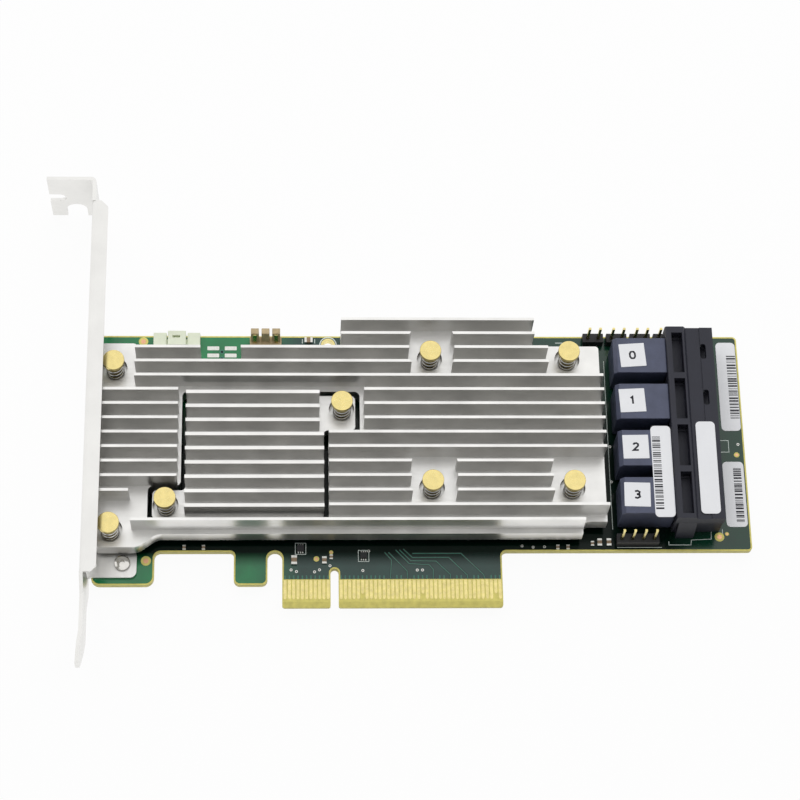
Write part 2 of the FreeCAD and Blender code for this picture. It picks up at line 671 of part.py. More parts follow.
def sink_outline():
    lip = FIN_THICKNESS / 2 + BASE_LIP
    last = FIN_COUNT - 1
    step_back, row_back, notch_back = [fin_row(row) + lip for row in (last, last - 2, last - 3)]
    return [
        (SINK_LEFT, FRONT_PAD_Y, SINK_EDGE),
        (FRONT_PAD_RIGHT, FRONT_PAD_Y, FRONT_PAD_CORNER),
        (FRONT_PAD_SLOPE_END, SINK_FRONT, FRONT_PAD_CORNER),
        (FRONT_FIN_RIGHT, SINK_FRONT, 0),
        (FRONT_FIN_RIGHT, RIGHT_PAD_FRONT, RIGHT_PAD_CORNER),
        (SINK_RIGHT, RIGHT_PAD_FRONT, 0),
        (SINK_RIGHT, RIGHT_PAD_BACK, SINK_EDGE),
        (PAD_LEFT, RIGHT_PAD_BACK, 0),
        (PAD_LEFT, row_back, 0),
        (STEP_RIGHT, row_back, 0),
        (STEP_RIGHT, step_back, 0),
        (STEP_LEFT, step_back, 0),
        (STEP_LEFT, row_back, 0),
        (NOTCH_RIGHT, row_back, 0),
        (NOTCH_RIGHT, notch_back, 0),
        (NOTCH_LEFT, notch_back, 0),
        (NOTCH_LEFT, row_back, 0),
        (CORNER_PAD_RIGHT + CORNER_PAD_CORNER, row_back, 0),
        (CORNER_PAD_RIGHT, CORNER_PAD_BACK, CORNER_PAD_CORNER),
        (SINK_LEFT, CORNER_PAD_BACK, SINK_EDGE)]


def pin_seats(places, bottom):
    """Clearance holes with the counterbores that hold the springs."""
    cuts = []
    for place in places:
        cuts.append(cylinder(place, PIN_SHAFT_RADIUS + PIN_HOLE_CLEARANCE, bottom - BEYOND, BASE_TOP))
        cuts.append(cylinder(place, SEAT_RADIUS, BASE_TOP - SEAT_DEPTH, BASE_TOP + BEYOND))
    return cuts


def make_main_heatsink():
    half = FIN_THICKNESS / 2
    base = plate(sink_outline(), BASE_BOTTOM, BASE_TOP)
    rows = [box(SINK_LEFT, SINK_RIGHT, fin_row(row) - half, fin_row(row) + half, BASE_TOP, FIN_TOP)
            for row in range(FIN_COUNT)]
    clearings = [plate(outline, BASE_TOP - BEYOND, FIN_TOP + BEYOND) for outline in fin_clearings()]
    fins = Part.makeCompound(rows).cut(clearings)
    window = plate(core_outline(WINDOW_GAP), BASE_BOTTOM - BEYOND, FIN_TOP + BEYOND)
    return fused([base] + fins.Solids).cut([window] + pin_seats(MAIN_PINS, BASE_BOTTOM))


def make_core_heatsink():
    half = CORE_FIN_THICKNESS / 2
    fins = []
    for index in range(CORE_FIN_COUNT):
        y = CORE_FRONT + CORE_EDGE + half + index * CORE_FIN_PITCH
        step = CORE_FIN_STEP if y > CORE_RIGHT_TAB_FRONT else 0
        fins.append(box(CORE_LEFT, CORE_RIGHT - step, y - half, y + half, BASE_TOP, CORE_FIN_TOP))
    sink = fused([plate(core_outline(0), CORE_BOTTOM, BASE_TOP)] + fins)
    return sink.cut(pin_seats(CORE_PINS, CORE_BOTTOM))


# ================================================================ spring pins
def make_pin(place):
    """Headed pin with a split barb that snaps behind the board."""
    head_bottom = PIN_TOP - PIN_HEAD_HEIGHT
    barb_top = BOARD_UNDER - PIN_BARB_GAP
    barb_end = barb_top - PIN_BARB_LENGTH
    pin = turned([(0, PIN_TOP), (PIN_HEAD_RADIUS, PIN_TOP), (PIN_HEAD_RADIUS, head_bottom),
                  (PIN_SHAFT_RADIUS, head_bottom), (PIN_SHAFT_RADIUS, barb_top),
                  (PIN_BARB_RADIUS, barb_top), (PIN_BARB_TIP_RADIUS, barb_end), (0, barb_end)])
    half = PIN_SPLIT / 2
    across = PIN_BARB_RADIUS + BEYOND
    pin = pin.cut(box(-half, half, -across, across, barb_end - BEYOND, BOARD_UNDER))
    pin.translate(V(place[0], place[1], 0))
    return pin


def make_spring(place):
    """Open coil of square wire between the counterbore and the pin head."""
    low = BASE_TOP - SEAT_DEPTH
    rise = PIN_TOP - PIN_HEAD_HEIGHT - low - SPRING_WIRE
    half = SPRING_WIRE / 2
    steps = round(SPRING_TURNS * SPRING_SIDES)
    sections = []
    for step in range(steps + 1):
        angle = 2 * math.pi * step / SPRING_SIDES
        middle = low + half + rise * step / steps
        corners = []
        for out, up in ((-half, -half), (half, -half), (half, half), (-half, half), (-half, -half)):
            radius = SPRING_RADIUS + out
            x, y = place[0] + radius * math.cos(angle), place[1] + radius * math.sin(angle)
            corners.append(V(x, y, middle + up))
        sections.append(Part.makePolygon(corners))
    return Part.makeLoft(sections, True, True)


# ================================================================ chips
def save_controller():
    """Package substrate, lid and thermal pad, one on another up to the heatsink."""
    lid_top = SUBSTRATE_THICKNESS + LID_THICKNESS
    substrate = (PACKAGE_SIZE, PACKAGE_SIZE, SUBSTRATE_THICKNESS)
    lid = (LID_SIZE, LID_SIZE, LID_THICKNESS)
    pad = (LID_SIZE, LID_SIZE, CORE_BOTTOM - lid_top)
    save("controller_substrate", block(CORE_CENTRE, substrate, 0))
    save("controller_lid", block(CORE_CENTRE, lid, SUBSTRATE_THICKNESS))
    save("controller_thermal_pad", block(CORE_CENTRE, pad, lid_top))


def make_memory_pads():
    length, width, height = MEMORY_SIZE
    size = (length + 2 * MEMORY_PAD_MARGIN, width + 2 * MEMORY_PAD_MARGIN, BASE_BOTTOM - height)
    return [block(place, size, height) for place in MEMORY_PLACES]


# ================================================================ port connector
def make_housing():
    """Moulded shell round the four mouths, with latch windows, cable latch slots and a leg."""
    front = HOUSING_BACK_X + HOUSING_LENGTH
    collar_end = HOUSING_BACK_X + COLLAR_LENGTH
    housing = strip_along_y([
        (0, HOUSING_BACK_X, 0),
        (COLLAR_TOP, HOUSING_BACK_X, COLLAR_REAR_CORNER),
        (COLLAR_TOP, collar_end, COLLAR_FRONT_CORNER),
        (HOUSING_TOP, collar_end + COLLAR_SLOPE, 0),
        (HOUSING_TOP, front - LIP_LENGTH, 0),
        (LIP_TOP, front - LIP_LENGTH, 0),
        (LIP_TOP, front, 0),
        (0, front, 0)], HOUSING_LOW_Y, HOUSING_HIGH_Y)
    through = (HOUSING_BACK_X - BEYOND, front + BEYOND)
    wall = HOUSING_LOW_Y + HOUSING_RECESS
    far_wall = HOUSING_HIGH_Y - HOUSING_RECESS
    housing = housing.cut([
        box(*through, HOUSING_LOW_Y - BEYOND, wall, -BEYOND, HOUSING_RECESS_TOP),
        box(*through, far_wall, HOUSING_HIGH_Y + BEYOND, -BEYOND, HOUSING_RECESS_TOP)])
    foot = wall - LEG_SPREAD
    leg = sharp((wall, 0), (foot, 0), (foot, LEG_FOOT_HEIGHT), (HOUSING_LOW_Y, HOUSING_RECESS_TOP),
                (wall, HOUSING_RECESS_TOP))
    leg_start = HOUSING_BACK_X + LEG_START
    housing = fused([housing, upright(leg, leg_start, leg_start + LEG_LENGTH)])
    low, high = MOUTH_TOP - WINDOW_SINK, COLLAR_TOP + BEYOND
    window_start = HOUSING_BACK_X + WINDOW_START
    slot_length, slot_width = LATCH_SLOT
    slot_end = front - LATCH_SLOT_FROM_FRONT
    cuts = []
    for y in PORT_YS:
        cuts.append(box(*through, y - MOUTH_WIDTH / 2, y + MOUTH_WIDTH / 2, MOUTH_BOTTOM, MOUTH_TOP))
        side = y + WINDOW_SHIFT - WINDOW_WIDTH / 2
        cuts.append(box(window_start, window_start + WINDOW_LENGTH, side, side + WINDOW_WIDTH,
                        low, high))
        side = y + LATCH_SLOT_SHIFT - slot_width / 2
        slot = rectangle(slot_end - slot_length, slot_end, side, side + slot_width, LATCH_SLOT_CORNER)
        cuts.append(plate(slot, low, high))
    return housing.cut(cuts)


def make_port_body(y):
    """Rear body with the contact nose that reaches into the mouth."""
    back = HOUSING_BACK_X - BODY_LENGTH
    body = strip_along_y([
        (BODY_STANDOFF, back, 0),
        (HOUSING_TOP - BODY_CHAMFER, back, 0),
        (HOUSING_TOP, back + BODY_CHAMFER, 0),
        (HOUSING_TOP, HOUSING_BACK_X, 0),
        (BODY_STANDOFF, HOUSING_BACK_X, 0)], y - BODY_WIDTH / 2, y + BODY_WIDTH / 2)
    section = rectangle(y - NOSE_WIDTH / 2, y + NOSE_WIDTH / 2, PORT_MIDDLE_Z - NOSE_HEIGHT / 2,
                        PORT_MIDDLE_Z + NOSE_HEIGHT / 2, NOSE_CORNER)
    nose_end = HOUSING_BACK_X + NOSE_LENGTH
    nose = upright(section, HOUSING_BACK_X, nose_end)
    width, height = CARD_SLOT
    slots = []
    for side in (-1, 1):
        floor = PORT_MIDDLE_Z + side * CARD_SLOT_SPACING / 2 - height / 2
        slots.append(box(HOUSING_BACK_X + CARD_SLOT_FLOOR, nose_end + BEYOND,
                         y - width / 2, y + width / 2, floor, floor + height))
    return fused([body, nose]).cut(slots)


def contact_ys(y):
    """Middle of each contact of a port across its row."""
    first = y - (CONTACTS_PER_ROW - 1) / 2 * PORT_CONTACT_PITCH
    return [first + column * PORT_CONTACT_PITCH for column in range(CONTACTS_PER_ROW)]


def make_port_contacts(y):
    """Contacts lying on the floors of a port's two card slots."""
    width, thickness = PORT_CONTACT
    start = HOUSING_BACK_X + CARD_SLOT_FLOOR
    end = HOUSING_BACK_X + NOSE_LENGTH - PORT_CONTACT_SETBACK
    contacts = []
    for side in (-1, 1):
        floor = PORT_MIDDLE_Z + side * CARD_SLOT_SPACING / 2 - CARD_SLOT[1] / 2
        for centre in contact_ys(y):
            contacts.append(box(start, end, centre - width / 2, centre + width / 2,
                                floor, floor + thickness))
    return contacts


def make_solder_tails():
    """Ends of the port contacts where they stand out of the back of the board."""
    back = HOUSING_BACK_X - BODY_LENGTH
    low = BOARD_UNDER - SOLDER_TAIL[2]
    tails = []
    for port in PORT_YS:
        for column, y in enumerate(contact_ys(port)):
            for from_back in SOLDER_ROWS_FROM_BACK:
                x = back + from_back + (SOLDER_STAGGER if column % 2 else 0)
                tails.append(block((x, y), SOLDER_TAIL, low))
    return tails


# ================================================================ headers and edge parts
def make_header_bodies():
    half = HEADER_PIN / 2
    bodies = []
    for group in header_pin_groups():
        centre = (sum(x for x, _ in group) / len(group), group[0][1])
        size = (len(group) * HEADER_PITCH - HEADER_PLAY, HEADER_BODY_DEPTH, HEADER_BODY_HEIGHT)
        holes = [box(x - half, x + half, y - half, y + half, -BEYOND, HEADER_BODY_HEIGHT + BEYOND)
                 for x, y in group]
        bodies.append(block(centre, size, 0).cut(holes))
    return bodies


def make_header_pins():
    size = (HEADER_PIN, HEADER_PIN, HEADER_PIN_TOP - BOARD_UNDER + HEADER_TAIL)
    return [block(place, size, BOARD_UNDER - HEADER_TAIL) for place in header_pin_places()]


def make_cache_connector():
    """Low receptacle with a raised middle and a slot in it."""
    left, right = CACHE_MIDDLE
    front = BOARD_BACK - CACHE_DEPTH
    set_in, depth, drop = CACHE_SPINE
    spine_front = front + set_in
    slot_left, slot_right = left + CACHE_SLOT_ENDS[0], right - CACHE_SLOT_ENDS[1]
    slot_front = front + CACHE_SLOT_FROM_FRONT
    solid = fused([
        box(left, right, front, BOARD_BACK, 0, CACHE_MIDDLE_HEIGHT),
        box(CACHE_LEFT, left - CACHE_GAP, front + CACHE_STEP, BOARD_BACK, 0, CACHE_SIDE_HEIGHT),
        box(right + CACHE_GAP, CACHE_RIGHT, front + CACHE_STEP, BOARD_BACK, 0, CACHE_SIDE_HEIGHT),
        box(CACHE_LEFT + set_in, CACHE_RIGHT - set_in, spine_front, spine_front + depth, 0,
            CACHE_SIDE_HEIGHT - drop)])
    return solid.cut(box(slot_left, slot_right, slot_front, slot_front + CACHE_SLOT_WIDTH,
                         CACHE_MIDDLE_HEIGHT - CACHE_SLOT_DEPTH, CACHE_MIDDLE_HEIGHT + BEYOND))


def make_jumper_block():
    back = BOARD_BACK - POST_FROM_EDGE
    front = back - POST_DEPTH
    half = POST_WIDTH / 2
    aside, forward = POST_BASE_REACH
    base = box(POST_CENTRES[0] - half - aside, POST_CENTRES[-1] + half + aside, front - forward, back,
               0, POST_BASE_HEIGHT)
    return fused([base] + [box(x - half, x + half, front, back, 0, POST_HEIGHT) for x in POST_CENTRES])


def make_jumper_blades():
    """Gold blades on the outer two posts."""
    width, depth, height = BLADE
    front = BOARD_BACK - POST_FROM_EDGE - POST_DEPTH
    low = POST_BASE_HEIGHT
    return [box(x - width / 2, x + width / 2, front - depth, front, low, low + height)
            for x in (POST_CENTRES[0], POST_CENTRES[-1])]


def along_shoulder(size, places):
    """Like parts in a row near the board's front edge."""
    return [block((x, SHOULDER_Y + y), size, 0) for x, y in places]


def make_small_ceramics():
    """Ceramic resistors and capacitors on the component side."""
    capacitor = block((CAPACITOR_X, BOARD_BACK - CAPACITOR_FROM_EDGE), CAPACITOR, 0)
    return ([capacitor] + along_shoulder(LARGE_CERAMIC, LARGE_CERAMIC_PLACES)
            + along_shoulder(MEDIUM_CERAMIC, MEDIUM_CERAMIC_PLACES)
            + along_shoulder(SMALL_CERAMIC, SMALL_CERAMIC_PLACES))


def make_back_capacitors():
    """Decoupling grid on the back of the board, under the controller."""
    first_x = CORE_CENTRE[0] - (BACK_GRID_COLUMNS - 1) / 2 * BACK_GRID_PITCH
    first_y = CORE_CENTRE[1] - (BACK_GRID_ROWS - 1) / 2 * BACK_GRID_PITCH
    parts = []
    for column in range(BACK_GRID_COLUMNS):
        for row in range(BACK_GRID_ROWS):
            place = (first_x + column * BACK_GRID_PITCH, first_y + row * BACK_GRID_PITCH)
            parts.append(block(place, BACK_CERAMIC, BOARD_UNDER - BACK_CERAMIC[2]))
    return parts


# ================================================================ all nodes
def main():
    os.makedirs("parts", exist_ok=True)
    save("circuit_board", make_board())
    save("edge_contacts_component_side", make_contacts(0, SHORT_CONTACT_NUMBERS))
    save("edge_contacts_solder_side",
         make_contacts(BOARD_UNDER - CONTACT_THICKNESS, BACK_SHORT_CONTACT_NUMBERS))
    save("bracket", make_bracket())
    save("bracket_screws", [make_screw(y) for y in TAB_CENTRES])
    save("bracket_nuts", [make_nut(y) for y in TAB_CENTRES])

    save("main_heatsink", make_main_heatsink())
    save("controller_heatsink", make_core_heatsink())
    save("main_heatsink_pins", [make_pin(place) for place in MAIN_PINS])
    save("controller_heatsink_pins", [make_pin(place) for place in CORE_PINS])
    save("main_heatsink_springs", [make_spring(place) for place in MAIN_PINS])
    save("controller_heatsink_springs", [make_spring(place) for place in CORE_PINS])

    save_controller()
    save("memory_chips", [block(place, MEMORY_SIZE, 0) for place in MEMORY_PLACES])
    save("memory_thermal_pads", make_memory_pads())
    save("power_coils", [block(place, COIL_SIZE, 0) for place in COIL_PLACES])
    save("boot_flash", block(FLASH_PLACE, FLASH_SIZE, 0))

    save("port_housing", make_housing())
    for index, y in enumerate(PORT_YS):
        save("port_body_%d" % index, make_port_body(y))
        save("port_contacts_%d" % index, make_port_contacts(y))
    save("port_solder_tails", make_solder_tails())

    save("header_bodies", make_header_bodies())
    save("header_pins", make_header_pins())
    save("cache_connector", make_cache_connector())
    save("jumper_block", make_jumper_block())
    save("jumper_blades", make_jumper_blades())
    save("small_ceramics", make_small_ceramics())
    save("small_chips", along_shoulder(SMALL_CHIP, SMALL_CHIP_PLACES))
    save("back_capacitors", make_back_capacitors())


main()
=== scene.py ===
"""Looks of a storage controller card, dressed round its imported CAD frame.

Lengths in this file are millimetres. make_mesh() turns them into metres. +X runs from the bracket
to the far end of the board, +Y away from the edge contacts, +Z out of the component side.
"""
import bmesh
import bpy
import math
import random
from mathutils import Matrix, Vector
from mathutils.geometry import tessellate_polygon


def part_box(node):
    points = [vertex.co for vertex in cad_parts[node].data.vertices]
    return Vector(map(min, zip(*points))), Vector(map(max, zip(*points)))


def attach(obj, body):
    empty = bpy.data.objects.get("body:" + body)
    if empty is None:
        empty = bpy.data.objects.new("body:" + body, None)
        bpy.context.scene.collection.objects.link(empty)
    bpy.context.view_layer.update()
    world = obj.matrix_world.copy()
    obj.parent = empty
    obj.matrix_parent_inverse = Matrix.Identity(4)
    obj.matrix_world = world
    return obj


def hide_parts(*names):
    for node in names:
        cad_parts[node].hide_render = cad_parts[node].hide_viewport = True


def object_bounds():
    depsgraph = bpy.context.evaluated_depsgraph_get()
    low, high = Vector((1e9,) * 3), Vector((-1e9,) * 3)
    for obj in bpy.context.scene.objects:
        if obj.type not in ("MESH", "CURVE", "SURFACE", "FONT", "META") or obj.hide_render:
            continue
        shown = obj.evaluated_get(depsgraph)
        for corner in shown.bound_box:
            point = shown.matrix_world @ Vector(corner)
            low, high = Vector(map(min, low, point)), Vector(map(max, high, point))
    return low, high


MM = 0.001
BODY = "root"
SAME_PLACE = 1e-4            # points nearer to each other than this are one
SAME_HEIGHT = 1e-3

# ---------------------------------------------------------------- camera and light
CAMERA_AZIMUTH = -6.655
CAMERA_ELEVATION = 66.676
CAMERA_ROLL = 6.161
CAMERA_DISTANCE = 582.254
CAMERA_TARGET = (16.003, 52.13, 0.0)
CAMERA_LENS = 109.14
SENSOR = 36.0

WORLD_FILL = 0.20            # what the sky gives matt surfaces
WORLD_DEEP = 0.36            # what it gives rays that were mirrored more than once
FLOOR_FILL = 0.95            # share of plain white in what camera and mirrored rays see of the floor
FLOOR_GREY = 0.92
FLOOR_REACH = 3000.0
KEY_AZIMUTH = 180.0          # large soft light behind and above the card
KEY_ELEVATION = 62.0
KEY_DISTANCE = 1100.0
KEY_SIZE = (2000.0, 1600.0)
KEY_POWER = 15.0

# ---------------------------------------------------------------- surface layers
MASK_THICKNESS = 0.03
MASK_INSET = 0.36            # bare laminate rim along the board's edge
MASK_FRONT = 6.82            # the mask ends here above the edge contacts
TAB_MARGIN = 1.0             # and this far to the left of them
LAYER = 0.006                # each printed or plated layer on the mask
HOLE_CLEARANCE = 0.35        # bare rim round each hole
PLATED_HOLE = (-1.2, 66.6)   # centre
PLATED_HOLE_RADIUS = 1.15
PLATING = 0.06               # thickness of the hole's metal wall
HOLE_RING = (1.7, 1.2)       # outer and inner radius of the metal ring round the plated hole
HOLE_INK_RING = (2.1, 1.85)
HOUSING_LIP = 10.22          # height of the housing under its label
BRACKET_SHEET = 0.86         # the screw heads sit on it
LABEL_THICKNESS = 0.09
LABEL_CORNER = 1.0

# ---------------------------------------------------------------- solder mask: where its colour and its painted shade change
MASK_LEFT_FADE = (-20.0, -8.0)       # X: bright green on the left of it
MASK_RIGHT_FADE = (35.0, 60.0)       # X: less blue on the right of it
MASK_SHADE_FRONT = (10.0, 13.5)       # Y: painted shade, near black, behind it
MASK_SHADE_BACK = (40.0, 60.0)        # Y: painted shade, near black, in front of it
MASK_SHADE_RIGHT = (78.0, 86.0)       # X: painted shade, near black, on the left of it

# ---------------------------------------------------------------- labels
PORT_LABEL_SIZE = (6.1, 5.95)
PORT_LABEL_CORNER = 0.1
PORT_LABELS = (((70.43, 23.97), -1.5), ((70.71, 35.96), 0.7),    # centre and turn in degrees
               ((70.55, 47.81), 2.6), ((71.20, 59.54), 3.8))
DIGIT_HEIGHT = 1.8
DIGIT_LINE = 0.44
# strokes of the plain numbers 0 to 3, in a box 1 high
DIGITS = (
    (((0.0, 0.5), (-0.2, 0.45), (-0.34, 0.2), (-0.34, -0.2), (-0.2, -0.45), (0.0, -0.5)),
     ((0.0, -0.5), (0.2, -0.45), (0.34, -0.2), (0.34, 0.2), (0.2, 0.45), (0.0, 0.5))),
    (((-0.22, 0.30), (0.05, 0.5), (0.05, -0.5)),),
    (((-0.32, 0.28), (-0.2, 0.45), (0.1, 0.5), (0.3, 0.36), (0.30, 0.12), (-0.32, -0.48), (0.36, -0.48)),),
    (((-0.32, 0.42), (0.0, 0.5), (0.28, 0.36), (0.24, 0.12), (-0.08, 0.02)),
     ((-0.08, 0.02), (0.26, -0.08), (0.32, -0.32), (0.0, -0.5), (-0.34, -0.42))))
# low x, high x, low y, high y, then low x, high x, low y, high y of the bars
BODY_STRIP = (74.36, 79.09, 18.37, 41.23), (74.6, 76.5, 20.3, 39.0)
HOUSING_STRIP = (85.10, 89.66, 19.10, 42.26), None
BOARD_LABELS = (((93.21, 97.90, 44.10, 67.33), (95.6, 97.8, 47.3, 64.3)),
                ((92.74, 97.77, 19.55, 36.08), (95.2, 97.1, 20.8, 34.8)))


# ================================================================ node materials
def srgb(red, green, blue):
    """Linear colour of an sRGB colour given as 0 to 255."""
    def linear(value):
        share = value / 255
        return share / 12.92 if share <= 0.04045 else ((share + 0.055) / 1.055) ** 2.4
    return (linear(red), linear(green), linear(blue), 1.0)


class Builder:
    """Node tree of one material."""

    def __init__(self, name):
        self.material = bpy.data.materials.new(name)
        self.material.use_nodes = True
        self.tree = self.material.node_tree
        self.shader = self.tree.nodes["Principled BSDF"]
        self.coords = self.add("ShaderNodeTexCoord").outputs["Object"]

    def add(self, kind, **values):
        node = self.tree.nodes.new(kind)
        for key, value in values.items():
            setattr(node, key, value)
        return node

    def link(self, source, target):
        self.tree.links.new(source, target)

    def noise(self, size, detail=4.0, stretch=(1, 1, 1)):
        """Noise with grains about size mm across."""
        mapping = self.add("ShaderNodeMapping")
        mapping.inputs["Scale"].default_value = [share / (size * MM) for share in stretch]
        self.link(self.coords, mapping.inputs["Vector"])
        noise = self.add("ShaderNodeTexNoise")
        noise.inputs["Scale"].default_value = 1.0
        noise.inputs["Detail"].default_value = detail
        self.link(mapping.outputs["Vector"], noise.inputs["Vector"])
        return noise.outputs["Fac"]

    def spread(self, source, low, high, low_in=0.3, high_in=0.7):
        """Value that runs from low to high while its source runs from low_in to high_in."""
        node = self.add("ShaderNodeMapRange")
        node.inputs["From Min"].default_value = low_in
        node.inputs["From Max"].default_value = high_in
        node.inputs["To Min"].default_value = low
        node.inputs["To Max"].default_value = high
        self.link(source, node.inputs["Value"])
        return node.outputs["Result"]

    def mix(self, factor, first, second):
        """Colour between first and second, each a colour or an output."""
        node = self.add("ShaderNodeMix", data_type="RGBA")
        self.link(factor, node.inputs["Factor"])
        for value, name in ((first, "A"), (second, "B")):
            socket = [entry for entry in node.inputs if entry.name == name and entry.type == "RGBA"][0]
            if isinstance(value, tuple):
                socket.default_value = value
            else:
                self.link(value, socket)
        return [entry for entry in node.outputs if entry.type == "RGBA"][0]

    def bump(self, height, depth):
        """Bump from a 0 to 1 height, depth in mm."""
        node = self.add("ShaderNodeBump")
        node.inputs["Distance"].default_value = depth * MM
        self.link(height, node.inputs["Height"])
        self.link(node.outputs["Normal"], self.shader.inputs["Normal"])


def finish(name, colour, roughness, metallic=0.0, specular=0.5, mottle=0.10, mottle_size=4.0,
           rough_spread=0.05, grain=0.01, grain_size=0.25, stretch=(1, 1, 1)):
    """A surface with slow colour drift, uneven gloss and a fine grain."""
    build = Builder(name)
    shader = build.shader
    shader.inputs["Metallic"].default_value = metallic
    shader.inputs["Specular IOR Level"].default_value = specular
    darker = tuple(channel * (1 - mottle) for channel in colour[:3]) + (1.0,)
    lighter = tuple(min(1.0, channel * (1 + mottle / 2)) for channel in colour[:3]) + (1.0,)
    drift = build.spread(build.noise(mottle_size), 0, 1)
    build.link(build.mix(drift, darker, lighter), shader.inputs["Base Color"])
    fine = build.noise(grain_size, 3.0, stretch)
    rough = build.spread(fine, roughness - rough_spread, roughness + rough_spread)
    build.link(rough, shader.inputs["Roughness"])
    build.bump(fine, grain)
    return build.material


def make_mask_material():
    """Solder mask: bright green at the bracket's end, a dark blue-green in the middle, a dark green at the
    ports' end, and a painted shade, near black and less glossy, between the edge contacts and the middle of
    the board, where the heatsink shades the mask and is mirrored in it."""
    build = Builder("mask")
    shader = build.shader
    split = build.add("ShaderNodeSeparateXYZ")
    build.link(build.coords, split.inputs["Vector"])

    def fade(axis, low, high, limits):
        return build.spread(split.outputs[axis], low, high, limits[0] * MM, limits[1] * MM)

    left = fade("X", 1, 0, MASK_LEFT_FADE)
    right = fade("X", 0, 1, MASK_RIGHT_FADE)
    behind_contacts = fade("Y", 0, 1, MASK_SHADE_FRONT)
    before_middle = fade("Y", 1, 0, MASK_SHADE_BACK)
    inside = fade("X", 1, 0, MASK_SHADE_RIGHT)
    # painted shade: near black where the heatsink shades the mask and is mirrored in it
    painted_shade = calculate(build.tree, "MULTIPLY", behind_contacts, before_middle)
    painted_shade = calculate(build.tree, "MULTIPLY", painted_shade, inside)
    ground = build.mix(left, srgb(7, 58, 50), srgb(14, 122, 70))
    ground = build.mix(right, ground, srgb(5, 56, 38))
    ground = build.mix(painted_shade, ground, srgb(2, 22, 14))
    shade = build.mix(build.spread(build.noise(6.0), 0, 1), (0.8, 0.8, 0.8, 1), (1.15, 1.15, 1.15, 1))
    blend = build.add("ShaderNodeVectorMath", operation="MULTIPLY")
    build.link(ground, blend.inputs[0])
    build.link(shade, blend.inputs[1])
    build.link(blend.outputs[0], shader.inputs["Base Color"])
    fine = build.noise(0.5, 3.0)
    build.link(build.spread(fine, 0.13, 0.19), shader.inputs["Roughness"])
    # the painted shade also lowers the mask's gloss, standing in for the heatsink mirrored there
    build.link(build.spread(painted_shade, 0.75, 0.2, 0, 1), shader.inputs["Specular IOR Level"])
    build.bump(fine, 0.001)
    return build.material


def make_materials():
    return {
        "laminate": finish("laminate", srgb(232, 221, 124), 0.45, mottle=0.16, mottle_size=1.5),
        "mask": make_mask_material(),
        "mask_copper": finish("mask_copper", srgb(40, 112, 92), 0.18, specular=0.8, mottle=0.12,
                              rough_spread=0.03, grain=0.004, grain_size=0.5),
        "mask_gap": finish("mask_gap", srgb(3, 34, 28), 0.18, specular=0.6, mottle=0.12, grain=0.004),
        "ink": finish("ink", srgb(226, 236, 230), 0.6, specular=0.3, mottle=0.10, mottle_size=0.8),
        "gold": finish("gold", srgb(240, 224, 154), 0.26, metallic=1.0, mottle=0.16, mottle_size=1.2,
                       grain=0.004, grain_size=0.15, stretch=(6, 0.5, 1)),
        "tin": finish("tin", srgb(232, 232, 226), 0.32, metallic=1.0, mottle=0.14, mottle_size=0.5),
        "copper": finish("copper", srgb(244, 190, 150), 0.35, metallic=1.0, mottle=0.10, mottle_size=0.4),
        "zinc": finish("zinc", srgb(239, 238, 235), 0.34, metallic=1.0, mottle=0.05, mottle_size=9.0,
                       grain=0.006, grain_size=0.5, stretch=(1, 0.05, 1)),
        "aluminium": finish("aluminium", srgb(247, 246, 243), 0.36, metallic=1.0, mottle=0.10,
                            mottle_size=7.0, grain=0.005, grain_size=0.35, stretch=(0.05, 1, 1)),
        "brass": finish("brass", srgb(244, 225, 154), 0.24, metallic=1.0, mottle=0.08, mottle_size=1.5,
                        grain=0.003, grain_size=0.2),
        "wire": finish("wire", srgb(206, 204, 200), 0.22, metallic=1.0, mottle=0.10, mottle_size=0.8,
                       grain=0.003),
        "chrome": finish("chrome", srgb(228, 226, 220), 0.12, metallic=1.0, mottle=0.06, mottle_size=1.0,
                         grain=0.002),
        "housing": finish("housing", srgb(32, 33, 43), 0.5, mottle=0.14, mottle_size=5.0,
                          grain=0.012, grain_size=0.12),
        "port_body": finish("port_body", srgb(74, 79, 100), 0.42, specular=0.6, mottle=0.16,
                            mottle_size=2.5, grain=0.010, grain_size=0.3, stretch=(1, 3, 1)),
        "black": finish("black", srgb(22, 22, 25), 0.45, mottle=0.15, mottle_size=2.0,
                        grain=0.012, grain_size=0.1),
        "cream": finish("cream", srgb(232, 238, 216), 0.42, mottle=0.05, mottle_size=2.0),
        "amber": finish("amber", srgb(192, 172, 134), 0.38, mottle=0.22, mottle_size=1.2),
        "ceramic": finish("ceramic", srgb(150, 128, 104), 0.5, mottle=0.15, mottle_size=0.4),
        "pad": finish("pad", srgb(150, 158, 168), 0.8, mottle=0.10, mottle_size=1.0, grain=0.02,
                      grain_size=0.3),
        "substrate": finish("substrate", srgb(30, 78, 58), 0.35, mottle=0.10, mottle_size=1.0),
        "paper": finish("paper", srgb(250, 251, 254), 0.5, specular=0.25, mottle=0.02, mottle_size=3.0,
                        grain=0.004, grain_size=0.4),
        "print": finish("print", srgb(44, 44, 50), 0.6, specular=0.2, mottle=0.25, mottle_size=0.3,
                        grain=0.002),
        # painted shade: the dark inside of the holes in vias and pads
        "void": finish("void", srgb(10, 14, 14), 0.7, specular=0.1, mottle=0.2, mottle_size=0.5),
    }


